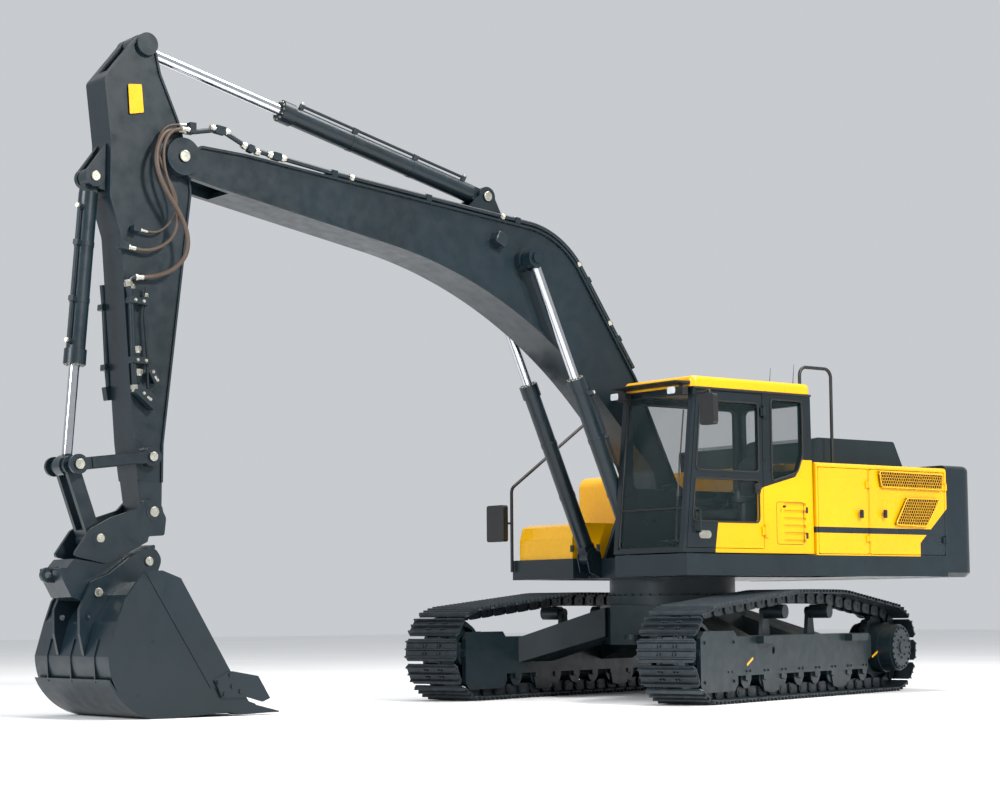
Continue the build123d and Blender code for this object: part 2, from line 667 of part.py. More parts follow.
tool_box.part.label = "tool_box"
export_step(tool_box.part, "parts/tool_box.step")

with BuildPart() as tool_box_lid:
    with BuildSketch(side(0, 0, BOX_RIGHT)):
        with BuildLine():
            Polyline(
                (BOX_REAR + 4, BOX_SPLIT + RUN),
                (BOX_FRONT, BOX_SPLIT + RUN),
                (BOX_FRONT - 40, BOX_TOP - 30),
                (BOX_FRONT - 140, BOX_TOP),
                (BOX_REAR + 4, BOX_TOP),
                close=True,
            )
        make_face()
    extrude(amount=-(BOX_LEFT - BOX_RIGHT))
    fillet(tool_box_lid.edges().filter_by(Axis.Y).group_by(Axis.Z)[-2:], 28)
    with BuildSketch(side(0, 0, BOX_RIGHT + BOX_WALL)):
        with BuildLine():
            Polyline(
                (BOX_REAR + BOX_WALL, BOX_SPLIT),
                (BOX_FRONT - BOX_WALL, BOX_SPLIT),
                (BOX_FRONT - 60, BOX_TOP - 45),
                (BOX_FRONT - 150, BOX_TOP - BOX_WALL),
                (BOX_REAR + BOX_WALL, BOX_TOP - BOX_WALL),
                close=True,
            )
        make_face()
    extrude(amount=-(BOX_LEFT - BOX_RIGHT - 2 * BOX_WALL), mode=Mode.SUBTRACT)
    for y in (BOX_RIGHT + 160, BOX_LEFT - 160):
        for end in (-1, 1):
            with BuildSketch(side(*BOX_HINGE, y + end * 13)):
                Circle(14)
                with Locations((10, 0)):
                    Rectangle(20, 28)
                Circle(7 + RUN, mode=Mode.SUBTRACT)
            extrude(amount=-end * 24)
tool_box_lid.part.label = "tool_box_lid"
export_step(tool_box_lid.part, "parts/tool_box_lid.step")

# Cab: a hollow frame with its windows cut, a roof cap, a door and flat glass
CAB_WALL = 60.0
CAB_FLOOR = DECK_HIGH + CAB_LIFT
CAB_LEAN = 160.0  # how far the windscreen's head lies behind its foot
DOOR_REAR = 118.0
CAB_HINGE = (DOOR_REAR - 6.0, CAB_LEFT + 20.0)
CAB_HINGE_Z = (CAB_FLOOR + 215.0, CAB_ROOF - 205.0)
SILL = CAB_FLOOR + 45.0
WAIST = CAB_FLOOR + 0.468 * (CAB_ROOF - CAB_FLOOR)
GLASS = 8.0
# quarter window behind the door, corners as (x, z)
QUARTER = (
    (0, CAB_ROOF - 75),
    (-430, CAB_ROOF - 75),
    (-430, WAIST + 235),
    (-350, WAIST + 55),
    (0, WAIST - 35),
)
CAB_MIDDLE = (CAB_LEFT + CAB_RIGHT) / 2
CAB_HALF = (CAB_LEFT - CAB_RIGHT) / 2


def cab_front(z):
    """The cab's front face, leaning back towards the roof."""
    return CAB_FRONT - CAB_LEAN * (z - CAB_FLOOR) / (CAB_ROOF - CAB_FLOOR)


with BuildPart() as cab_frame:
    with BuildSketch(side(0, 0, CAB_MIDDLE)):
        with BuildLine():
            Polyline(
                (CAB_REAR, CAB_FLOOR),
                (CAB_FRONT, CAB_FLOOR),
                (cab_front(CAB_ROOF), CAB_ROOF),
                (CAB_REAR + 20, CAB_ROOF),
                close=True,
            )
        make_face()
    extrude(amount=CAB_HALF, both=True)
    with BuildSketch(side(0, 0, CAB_MIDDLE)):
        with BuildLine():
            Polyline(
                (CAB_REAR + CAB_WALL, CAB_FLOOR + 45),
                (cab_front(CAB_FLOOR + 45) - CAB_WALL, CAB_FLOOR + 45),
                (cab_front(CAB_ROOF - 40) - CAB_WALL, CAB_ROOF - 40),
                (CAB_REAR + CAB_WALL + 20, CAB_ROOF - 40),
                close=True,
            )
        make_face()
    extrude(amount=CAB_HALF - CAB_WALL, both=True, mode=Mode.SUBTRACT)
    # windscreen opening, through the leaning front
    with BuildSketch(front(CAB_FRONT + 10, CAB_MIDDLE, (SILL + CAB_ROOF - 60) / 2)):
        Rectangle(2 * (CAB_HALF - CAB_WALL), CAB_ROOF - 60 - SILL)
    extrude(amount=-(CAB_LEAN + CAB_WALL + 30), mode=Mode.SUBTRACT)
    # right side and rear windows
    with BuildSketch(side(260, (WAIST + CAB_ROOF) / 2 - 95, CAB_RIGHT - 1)):
        RectangleRounded(1420, CAB_ROOF - WAIST, 60)
    extrude(amount=-(CAB_WALL + 10), mode=Mode.SUBTRACT)
    with BuildSketch(front(CAB_REAR - 10, CAB_MIDDLE, (WAIST + CAB_ROOF) / 2 - 5)):
        RectangleRounded(2 * (CAB_HALF - CAB_WALL) - 60, CAB_ROOF - WAIST - 200, 60)
    extrude(amount=CAB_WALL + 60, mode=Mode.SUBTRACT)
    # left side: door opening and the quarter window behind it
    with BuildSketch(side(0, 0, CAB_LEFT + 1)):
        with BuildLine():
            Polyline(
                (DOOR_REAR, CAB_FLOOR + 40),
                (cab_front(CAB_FLOOR + 40) - 40, CAB_FLOOR + 40),
                (cab_front(CAB_ROOF - 30) - 40, CAB_ROOF - 30),
                (DOOR_REAR, CAB_ROOF - 30),
                close=True,
            )
        make_face()
    extrude(amount=CAB_WALL + 2, mode=Mode.SUBTRACT)
    with BuildSketch(side(0, 0, CAB_LEFT + 1)) as quarter:
        with BuildLine():
            Polyline(*QUARTER, close=True)
        make_face()
        fillet(quarter.vertices(), 40)
    extrude(amount=CAB_WALL + 2, mode=Mode.SUBTRACT)
    # louvres of the air intake below the quarter window
    with BuildSketch(side(-310, (CAB_FLOOR + WAIST) / 2 - 65, CAB_LEFT)):
        with GridLocations(0, 72, 1, 6):
            Rectangle(300, 26)
    extrude(amount=14, mode=Mode.SUBTRACT)
    # hinge pins of the door
    for z in CAB_HINGE_Z:
        with BuildSketch(flat(z - 60, *CAB_HINGE)):
            Circle(10)
        extrude(amount=120)
        for low in (z - 60, z + 40 + RUN):
            with BuildSketch(flat(low, CAB_HINGE[0] - 22, CAB_HINGE[1] - 11)):
                Rectangle(60, 22)
            extrude(amount=20 - RUN)
cab_frame.part.label = "cab_frame"
export_step(cab_frame.part, "parts/cab_frame.step")

with BuildPart() as cab_roof:
    with BuildSketch(flat(CAB_ROOF + RUN, (CAB_REAR + 20 + cab_front(CAB_ROOF)) / 2, CAB_MIDDLE)):
        RectangleRounded(cab_front(CAB_ROOF) - CAB_REAR, 2 * CAB_HALF + 20, 70)
    extrude(amount=CAB_TOP - CAB_ROOF - RUN)
    fillet(cab_roof.faces().sort_by(Axis.Z)[-1].edges(), 45)
cab_roof.part.label = "cab_roof"
export_step(cab_roof.part, "parts/cab_roof.step")

# Work lamps under a visor over the windscreen
LAMP_Z = CAB_ROOF - 40.0
with BuildPart() as cab_lamps:
    with BuildSketch(side(0, 0, CAB_MIDDLE)):
        with BuildLine():
            Polyline(
                (cab_front(CAB_ROOF) + 10 + RUN, CAB_ROOF + 20),
                (cab_front(CAB_ROOF) + 200, CAB_ROOF + 35),
                (cab_front(CAB_ROOF) + 200, CAB_ROOF + 47),
                (cab_front(CAB_ROOF) + 10 + RUN, CAB_ROOF + 50),
                close=True,
            )
        make_face()
    extrude(amount=CAB_HALF - 30, both=True)
    for y in (CAB_RIGHT + 90, CAB_LEFT - 90):
        with BuildSketch(front(cab_front(LAMP_Z) + 40, y, LAMP_Z - 6)):
            RectangleRounded(130, 84, 20)
        extrude(amount=70)
        with BuildSketch(front(cab_front(LAMP_Z) + 60, y, LAMP_Z + 50)):
            Rectangle(30, 50)
        extrude(amount=20)
cab_lamps.part.label = "cab_lamps"
export_step(cab_lamps.part, "parts/cab_lamps.step")

# Fixed panes, set in the openings with a sealing gap
with BuildPart() as cab_glass:
    with BuildSketch(side(0, 0, CAB_MIDDLE)):
        with BuildLine():
            Polyline(
                (cab_front(SILL) - 30, SILL + RUN),
                (cab_front(SILL) - 30 + GLASS, SILL + RUN),
                (cab_front(CAB_ROOF - 60) - 30 + GLASS, CAB_ROOF - 60 - RUN),
                (cab_front(CAB_ROOF - 60) - 30, CAB_ROOF - 60 - RUN),
                close=True,
            )
        make_face()
    extrude(amount=CAB_HALF - CAB_WALL - RUN, both=True)
    with BuildSketch(side(260, (WAIST + CAB_ROOF) / 2 - 95, CAB_RIGHT + 20)):
        RectangleRounded(1420 - 2 * RUN, CAB_ROOF - WAIST - 2 * RUN, 60)
    extrude(amount=-GLASS)
    with BuildSketch(front(CAB_REAR + 25, CAB_MIDDLE, (WAIST + CAB_ROOF) / 2 - 5)):
        RectangleRounded(2 * (CAB_HALF - CAB_WALL) - 60 - 2 * RUN, CAB_ROOF - WAIST - 200 - 2 * RUN, 60)
    extrude(amount=GLASS)
    with BuildSketch(side(0, 0, CAB_LEFT - 20)) as quarter_pane:
        with BuildLine():
            Polyline(*QUARTER, close=True)
        make_face()
        fillet(quarter_pane.vertices(), 40)
        offset(amount=-RUN, mode=Mode.REPLACE)
    extrude(amount=GLASS)
cab_glass.part.label = "cab_glass"
export_step(cab_glass.part, "parts/cab_glass.step")

# Cab door: its leaf fills the opening and carries an upper and a lower pane
LEAF = 45.0
GAP = 6.0


def door_edge(z, inset):
    """The leaf's front edge, inset from its opening, beside the leaning pillar."""
    return cab_front(z) - 40 - inset


# panes: low and high edge
door_panes = ((WAIST + 45, CAB_ROOF - 30 - 95), (CAB_FLOOR + 295.0, WAIST - 35))
with BuildPart() as cab_door:
    low, high = CAB_FLOOR + 40 + GAP, CAB_ROOF - 30 - GAP
    with BuildSketch(side(0, 0, CAB_LEFT)):
        with BuildLine():
            Polyline(
                (DOOR_REAR + GAP, low),
                (door_edge(low, GAP), low),
                (door_edge(high, GAP), high),
                (DOOR_REAR + GAP, high),
                close=True,
            )
        make_face()
    extrude(amount=LEAF)
    for low, high in door_panes:
        with BuildSketch(side(0, 0, CAB_LEFT + 1)) as opening:
            with BuildLine():
                Polyline(
                    (DOOR_REAR + 60, low),
                    (door_edge(low, 60), low),
                    (door_edge(high, 60), high),
                    (DOOR_REAR + 60, high),
                    close=True,
                )
            make_face()
            fillet(opening.vertices(), 50)
        extrude(amount=LEAF + 2, mode=Mode.SUBTRACT)
    for z in CAB_HINGE_Z:
        with BuildSketch(flat(z - 40, *CAB_HINGE)):
            Circle(18)
            with Locations((25, -10)):
                Rectangle(38, 20)
        extrude(amount=80)
        with BuildSketch(flat(z - 41, *CAB_HINGE)):
            Circle(10 + RUN)
        extrude(amount=82, mode=Mode.SUBTRACT)
    # grab handle beside the front edge
    for z in (CAB_FLOOR + 195, CAB_FLOOR + 395):
        with BuildSketch(side(1010, z, CAB_LEFT)):
            Circle(11)
        extrude(amount=-48)
    with BuildSketch(flat(CAB_FLOOR + 185, 1010, CAB_LEFT + 48)):
        Circle(12)
    extrude(amount=220)
cab_door.part.label = "cab_door"
export_step(cab_door.part, "parts/cab_door.step")

with BuildPart() as cab_door_glass:
    for low, high in door_panes:
        with BuildSketch(side(0, 0, CAB_LEFT - 18)) as pane:
            with BuildLine():
                Polyline(
                    (DOOR_REAR + 60, low),
                    (door_edge(low, 60), low),
                    (door_edge(high, 60), high),
                    (DOOR_REAR + 60, high),
                    close=True,
                )
            make_face()
            fillet(pane.vertices(), 50)
            offset(amount=-RUN, mode=Mode.REPLACE)
        extrude(amount=GLASS)
cab_door_glass.part.label = "cab_door_glass"
export_step(cab_door_glass.part, "parts/cab_door_glass.step")

# Seat, arm consoles and travel levers inside the cab
INSIDE = CAB_FLOOR + 45.0 + RUN
with BuildPart() as seat:
    # blocks: x, y, z low, length, width, height
    for x, y, low, long, wide, high in (
        (60, 0, INSIDE, 420, 420, 260),
        (90, 0, INSIDE + 260, 520, 500, 130),
        (90, 330, INSIDE + 180, 520, 110, 330),
        (90, -330, INSIDE + 180, 520, 110, 330),
    ):
        with BuildSketch(flat(low, x, CAB_MIDDLE + y)):
            RectangleRounded(long, wide, 30)
        extrude(amount=high)
    with BuildSketch(side(-190, INSIDE + 300, CAB_MIDDLE, aim=100)):
        with Locations((380, 0)):
            RectangleRounded(760, 120, 50)
    extrude(amount=240, both=True)
    for y in (-330, 330):
        with BuildSketch(flat(INSIDE + 500, 300, CAB_MIDDLE + y)):
            Circle(16)
        extrude(amount=190)
    with BuildSketch(flat(INSIDE + 180, 90, CAB_MIDDLE)):
        Rectangle(200, 620)
    extrude(amount=60)
    # travel pedals and levers
    for y in (-70, 70):
        with BuildSketch(flat(INSIDE, 820, CAB_MIDDLE + y)):
            Rectangle(220, 110)
        extrude(amount=60)
        with BuildSketch(flat(INSIDE + 60, 760, CAB_MIDDLE + y)):
            Circle(12)
        extrude(amount=520)
seat.part.label = "seat"
export_step(seat.part, "parts/seat.step")

# Boom, drawn in the frame of its foot pin with its x axis aimed at the arm pin
BOOM_AIM = angle(FOOT, TIP)
BOOM_LONG = span(FOOT, TIP)
LIFT_BOSS = local(FOOT, BOOM_AIM, LIFT_EYE)
ARM_LUG = local(FOOT, BOOM_AIM, ARM_BASE)
WEB_INSET = 24.0  # side plates inside the edges of top and bottom plate
BOOM_PLATE = 22.0
BOOM_HOLLOW = 60.0
TIP_PIN = 52.0
EYE_GAP = 6.0


HEEL, BEND, NOSE = (905, 887), (2377, 1679), (5790, 372)  # corners of the top plate


def boom_top(u, rise):
    """A point at a height over the boom's top plate, and the plate's slope there."""
    start, end = (HEEL, BEND) if u < BEND[0] else (BEND, NOSE)
    lean = angle(start, end)
    v = start[1] + (u - start[0]) * (end[1] - start[1]) / (end[0] - start[0])
    return u - rise * sin(radians(lean)), v + rise * cos(radians(lean)), lean


with BuildPart() as boom:
    with BuildSketch(side(*FOOT, aim=BOOM_AIM)) as boom_side:
        with BuildLine():
            FilletPolyline(
                (-100, 150),
                HEEL,
                BEND,
                NOSE,
                (BOOM_LONG - 90, 180),
                (BOOM_LONG - 70, -150),
                (5873, -49),
                (2627, 928),
                (300, 150),
                (60, -150),
                (-140, -80),
                close=True,
                radius=[40, 600, 930, 500, 60, 60, 300, 4800, 200, 60, 60],
            )
        make_face()
    extrude(amount=BOOM_HALF, both=True)
    for face in (-1, 1):
        with BuildSketch(side(*FOOT, face * BOOM_HALF, aim=BOOM_AIM)):
            add(boom_side.sketch_local)
            offset(amount=-BOOM_PLATE, mode=Mode.REPLACE)
        extrude(amount=face * WEB_INSET, mode=Mode.SUBTRACT)
    with BuildSketch(side(*FOOT, aim=BOOM_AIM)):
        add(boom_side.sketch_local)
        offset(amount=-BOOM_HOLLOW, mode=Mode.REPLACE)
    extrude(amount=BOOM_HALF - WEB_INSET - BOOM_PLATE, both=True, mode=Mode.SUBTRACT)
    # pin bosses across the boom: place, radius, half width
    for place, radius, half in (
        ((0, 0), 150, LUG_INNER),
        (LIFT_BOSS, 115, LIFT_Y - LIFT_EYE_WIDE / 2 - EYE_GAP),
    ):
        with BuildSketch(side(*FOOT, aim=BOOM_AIM)):
            with Locations(place):
                Circle(radius)
        extrude(amount=half, both=True)
    with BuildSketch(side(*FOOT, aim=BOOM_AIM)):
        Circle(FOOT_PIN + RUN)
    extrude(amount=LUG_INNER + 1, both=True, mode=Mode.SUBTRACT)
    # fork that takes the arm's boss
    for face in (-1, 1):
        with BuildSketch(side(*FOOT, face * (ARM_HALF + GEAR_GAP), aim=BOOM_AIM)):
            with Locations((BOOM_LONG, 0)):
                Circle(165)
        extrude(amount=-face * (BOOM_HALF - ARM_HALF - GEAR_GAP + 12))
    with BuildSketch(side(*FOOT, aim=BOOM_AIM)):
        with Locations((BOOM_LONG, 0)):
            Circle(560)
    extrude(amount=ARM_HALF + GEAR_GAP, both=True, mode=Mode.SUBTRACT)
    with BuildSketch(side(*FOOT, aim=BOOM_AIM)):
        with Locations((BOOM_LONG, 0)):
            Circle(TIP_PIN)
    extrude(amount=BOOM_HALF + 30, both=True)
    # lugs of the arm cylinder on the top plate
    for face in (-1, 1):
        with BuildSketch(side(*FOOT, face * 78, aim=BOOM_AIM)):
            with BuildLine():
                Polyline(
                    (ARM_LUG[0] - 330, ARM_LUG[1] - 140),
                    (ARM_LUG[0] - 90, ARM_LUG[1] + 30),
                    (ARM_LUG[0] + 60, ARM_LUG[1] + 70),
                    (ARM_LUG[0] + 90, ARM_LUG[1] - 70),
                    (ARM_LUG[0] + 200, ARM_LUG[1] - 340),
                    close=True,
                )
            make_face()
            with Locations(ARM_LUG):
                Circle(95)
        extrude(amount=-face * 42)
    with BuildSketch(side(*FOOT, aim=BOOM_AIM)):
        with Locations(ARM_LUG):
            Circle(50)
    extrude(amount=135, both=True)
boom.part.label = "boom"
export_step(boom.part, "parts/boom.step")

# Two steel pipes along each top edge of the boom, with clamp blocks and a work lamp. The outer
# pipe on the cab side runs on to the boom's tip, where the hoses to the arm begin.
PIPE_RISE = 36.0
PIPE_RADIUS = 17.0
CLAMP = 60.0
TIP_PIPE_Y = BOOM_HALF - 23.0
LAMP_BOX = (150.0, 120.0, 70.0)
HOSE_START = (5850.0, 5050.0)
with BuildPart() as boom_pipes:
    crest = (BEND[0] - 3, BEND[1] + PIPE_RISE * 1.1)
    end = boom_top(4950, PIPE_RISE)[:2]
    tip_bend, tip_end = (local(FOOT, BOOM_AIM, (HOSE_START[0] - back, HOSE_START[1])) for back in (70, 0))
    # pipes: place across, points in the boom's frame, bend radii, tube radius
    for y, points, bends, radius in (
        (-TIP_PIPE_Y, (crest, end), (930,), PIPE_RADIUS),
        (-160, (crest, end), (930,), PIPE_RADIUS),
        (160, (crest, end), (930,), PIPE_RADIUS),
        (
            TIP_PIPE_Y,
            (crest, end, (5760, 448), (6100, 430), tip_bend, tip_end),
            (930, 300, 300, 250, 60),
            PIPE_RADIUS + 5,
        ),
    ):
        place = side(*FOOT, y, aim=BOOM_AIM)
        with BuildLine():
            pipe_run = FilletPolyline(
                *[place.from_local_coords((u, v, 0)) for u, v in (boom_top(1000, PIPE_RISE)[:2], *points)],
                radius=list(bends),
            )
        with BuildSketch(Plane(origin=pipe_run @ 0, z_dir=pipe_run % 0)):
            Circle(radius)
        sweep()
    for u in (1300, 1900, 2900, 3900, 4900):
        x, z, lean = boom_top(u, CLAMP / 2 + RUN)
        for y in (-190, 190):
            with BuildSketch(side(*FOOT, y, aim=BOOM_AIM)):
                with Locations(Location((x, z, 0), lean)):
                    Rectangle(CLAMP, CLAMP)
            extrude(amount=58, both=True)
    # collars and valve blocks along the tip pipe
    for u, v, lean, long, radius in (
        (5500, 539, -19, 90, 34),
        (5760, 450, -10, 60, 34),
        (6100, 422, -20, 110, 36),
    ):
        with BuildSketch(side(*FOOT, TIP_PIPE_Y, aim=BOOM_AIM)):
            with Locations(Location((u, v, 0), lean)):
                RectangleRounded(long, 2 * radius, 12)
        extrude(amount=27, both=True)
    # block at the tip that the hoses leave from
    with BuildSketch(side(HOSE_START[0] - 30, HOSE_START[1] + 20, TIP_PIPE_Y - 23)):
        Rectangle(60, 92)
    extrude(amount=-106)
    # work lamp on the boom's side face
    with BuildSketch(side(2420, 4420, BOOM_HALF - WEB_INSET + RUN, aim=BOOM_AIM)):
        RectangleRounded(LAMP_BOX[0], LAMP_BOX[1], 30)
    extrude(amount=-LAMP_BOX[2] - WEB_INSET - 12)
    fillet(boom_pipes.faces().sort_by(Axis.Y)[-1].edges(), 14)
boom_pipes.part.label = "boom_pipes"
export_step(boom_pipes.part, "parts/boom_pipes.step")

# Arm, drawn in the frame of its boom pin with its x axis aimed at the bucket pin
ARM_AIM = angle(TIP, ARM_TIP)
ARM_LONG = span(TIP, ARM_TIP)
ARM_EAR = local(TIP, ARM_AIM, ARM_EYE)
CURL_LUG = local(TIP, ARM_AIM, CURL_BASE)
GUIDE_BOSS = local(TIP, ARM_AIM, GUIDE_PIN)
ARM_TIP_HALF = ARM_HALF - 20
COUPLER_IN = ARM_TIP_HALF + GEAR_GAP
COUPLER_PLATE = 36.0
PIN_HEAD = 6.0
GUIDE_PLATE = 32.0
GUIDE_NEAR = COUPLER_IN + COUPLER_PLATE + PIN_HEAD + EYE_GAP
with BuildPart() as arm:
    with BuildSketch(side(*TIP, aim=ARM_AIM)) as arm_side:
        with BuildLine():
            FilletPolyline(
                (-709, 240),
                (-275, 0),
                (270, -150),
                (2513, -55),
                (ARM_LONG + 20, -95),
                (ARM_LONG + 60, 90),
                (2760, 185),
                (2530, 235),
                (760, 512),
                (459, 639),
                (-26, 670),
                (-557, 777),
                (-1010, 470),
                (-1000, 330),
                close=True,
                radius=[150, 500, 400, 300, 60, 60, 200, 300, 200, 100, 300, 60, 60, 60],
            )
        make_face()
        Circle(170)
    extrude(amount=ARM_HALF, both=True)
    for face in (-1, 1):
        with BuildSketch(side(*TIP, face * ARM_HALF, aim=ARM_AIM)):
            add(arm_side.sketch_local)
            offset(amount=-18, mode=Mode.REPLACE)
            Circle(165, mode=Mode.SUBTRACT)
        extrude(amount=face * 18, mode=Mode.SUBTRACT)
    with BuildSketch(side(*TIP, aim=ARM_AIM)):
        with BuildLine():
            Polyline(
                (-420, 300), (250, 130), (2500, 80), (2450, 150), (720, 380), (400, 520), (-350, 560), close=True
            )
        make_face()
    extrude(amount=ARM_HALF - 42, both=True, mode=Mode.SUBTRACT)
    # the end that the coupler's plates straddle
    for face in (-1, 1):
        with BuildSketch(side(*TIP, face * ARM_TIP_HALF, aim=ARM_AIM)):
            with Locations((ARM_LONG, 0)):
                Rectangle(520, 700)
        extrude(amount=-face * 40, mode=Mode.SUBTRACT)
    # slot for the arm cylinder's rod eye
    with BuildSketch(side(*TIP, aim=ARM_AIM)):
        with Locations(ARM_EAR):
            Circle(430)
    extrude(amount=86, both=True, mode=Mode.SUBTRACT)
    with BuildSketch(side(*TIP, aim=ARM_AIM)):
        Circle(TIP_PIN + RUN)
    extrude(amount=ARM_HALF + 1, both=True, mode=Mode.SUBTRACT)
    # outer pin bosses: place, radius, inner face, outer face
    for place, radius, inner, outer in (
        (ARM_EAR, 100, 92, ARM_HALF + 25),
        (CURL_LUG, 90, 62, 110),
        (GUIDE_BOSS, 85, 0, GUIDE_NEAR - 2),
        ((ARM_LONG, 0), 110, 0, ARM_TIP_HALF),
    ):
        for face in (-1, 1):
            with BuildSketch(side(*TIP, face * inner, aim=ARM_AIM)):
                with Locations(place):
                    Circle(radius)
            extrude(amount=-face * (outer - inner))
    for face in (-1, 1):
        with BuildSketch(side(*TIP, face * 62, aim=ARM_AIM)):
            with BuildLine():
                Polyline(
                    (CURL_LUG[0] - 330, CURL_LUG[1] - 100),
                    (CURL_LUG[0] - 40, CURL_LUG[1] + 80),
                    (CURL_LUG[0] + 60, CURL_LUG[1] + 40),
                    (CURL_LUG[0] + 100, CURL_LUG[1] - 110),
                    close=True,
                )
            make_face()
        extrude(amount=-face * 42)
    with BuildSketch(side(*TIP, aim=ARM_AIM)):
        with Locations(CURL_LUG):
            Circle(45)
    extrude(amount=118, both=True)
    with BuildSketch(side(*TIP, aim=ARM_AIM)):
        with Locations(GUIDE_BOSS):
            Circle(42)
    extrude(amount=GUIDE_NEAR + GUIDE_PLATE + 18, both=True)
    with BuildSketch(side(*TIP, aim=ARM_AIM)):
        with Locations((ARM_LONG, 0)):
            Circle(45 + RUN)
    extrude(amount=ARM_HALF + 1, both=True, mode=Mode.SUBTRACT)
arm.part.label = "arm"
export_step(arm.part, "parts/arm.step")

# Pipes, valve blocks and clamps down both sides of the arm, drawn at their real places
ARM_PIPE_Y = 212.0
ARM_PIPE = 25.0
ARM_FACE = ARM_HALF + RUN
HOSE_END = (6330.0, 3722.0)
with BuildPart() as arm_pipes:
    # pipes: place across, points as (x, z), bend radii, tube radius
    for y, points, bends, radius in (
        (
            ARM_PIPE_Y,
            (HOSE_END, (6412, 3716), (6367, 3520), (6337, 2980), (6323, 2790)),
            (60, 600, 900),
            ARM_PIPE,
        ),
        (ARM_PIPE_Y, ((6221, 3642), (6237, 3386), (6209, 3081), (6197, 2730)), (600, 900), 12),
        (-ARM_PIPE_Y, ((6415, 3697), (6395, 3512), (6362, 2966), (6342, 2781)), (600, 900), ARM_PIPE),
    ):
        with BuildLine():
            pipe_run = FilletPolyline(*[(x, y, z) for x, z in points], radius=list(bends))
        with BuildSketch(Plane(origin=pipe_run @ 0, z_dir=pipe_run % 0)):
            Circle(radius)
        sweep()
    # blocks on the arm's side plates: centre as (x, z), lean, length, width, height, side
    for x, z, lean, long, wide, high, face in (
        (6305, 3520, 4, 190, 56, 84, 1),
        (6280, 3010, 2, 190, 56, 84, 1),
        (6222, 2705, 38, 250, 96, 76, 1),
        (6140, 2884, 60, 110, 74, 66, 1),
        (6395, 3500, 4, 90, 56, 84, -1),
        (6362, 2980, 2, 90, 56, 84, -1),
        (6342, 2760, 80, 120, 90, 76, -1),
        (6449, 3988, 10, 90, 70, 76, 1),
        (6324, 4145, 10, 70, 56, 70, 1),
    ):
        with BuildSketch(side(x, z, face * ARM_FACE)):
            with Locations(Location((0, 0, 0), lean)):
                RectangleRounded(long, wide, 9)
        extrude(amount=-face * high)
arm_pipes.part.label = "arm_pipes"
export_step(arm_pipes.part, "parts/arm_pipes.step")

# Hoses from the boom's tip to the arm: their route stays as chosen, and each bend's radius
# follows from its neighbouring runs
for name, diameter, points in (
    (
        "hose_feed",
        40.0,
        (
            (HOSE_START[0] + RUN, TIP_PIPE_Y, HOSE_START[1]),
            (5970, TIP_PIPE_Y, HOSE_START[1]),
            (6085, 262, 5000),
            (6164, 295, 4883),
            (6202, 330, 4753),
            (6181, 345, 4605),
            (6108, 350, 4468),
            (6016, 350, 4350),
            (5936, 350, 4223),
            (5893, 350, 4089),
            (5898, 345, 3955),
            (5965, 325, 3845),
            (6075, 275, 3765),
            (6215, ARM_PIPE_Y, 3730.4),
            (HOSE_END[0] - RUN, ARM_PIPE_Y, HOSE_END[1]),
        ),
    ),
    (
        "hose_return",
        32.0,
        (
            (HOSE_START[0] + RUN, 285, 5050),
            (5960, 285, 5050),
            (6054, 291, 4995),
            (6112, 303, 4878),
            (6122, 314, 4740),
            (6093, 320, 4602),
            (6038, 320, 4474),
            (5986, 315, 4344),
            (5967, 305, 4210),
            (6007, 290, 4086),
            (6100, 268, 4003),
            (6205, 236, 3962),
            (6306, ARM_PIPE_Y, 3963),
            (6404.4, ARM_PIPE_Y, 3980.1),
        ),
    ),
    (
        "hose_pilot",
        20.0,
        (
            (HOSE_START[0] + RUN, 240, 5096),
            (5945, 240, 5096),
            (6060, 236, 5062),
            (6125, 228, 4950),
            (6120, 230, 4810),
            (6076, 245, 4670),
            (6011, 262, 4555),
            (5964, 272, 4439),
            (5960, 268, 4319),
            (6014, 250, 4218),
            (6100, 228, 4136),
            (6195.6, ARM_PIPE_Y, 4122.4),
            (6289.2, ARM_PIPE_Y, 4138.9),
        ),
    ),
):
    spots = [Vector(*p) for p in points]
    runs = [b - a for a, b in zip(spots, spots[1:])]
    bends = [
        0.45 * min(a.length, b.length) / tan(radians(a.get_angle(b) / 2)) for a, b in zip(runs, runs[1:])
    ]
    print(name, "bend radii", [round(r) for r in bends])
    with BuildPart() as hose:
        with BuildLine():
            hose_run = FilletPolyline(*points, radius=bends)
        with BuildSketch(Plane(origin=hose_run @ 0, z_dir=hose_run % 0)):
            Circle(diameter / 2)
        sweep()
    hose.part.label = name
    export_step(hose.part, f"parts/{name}.step")

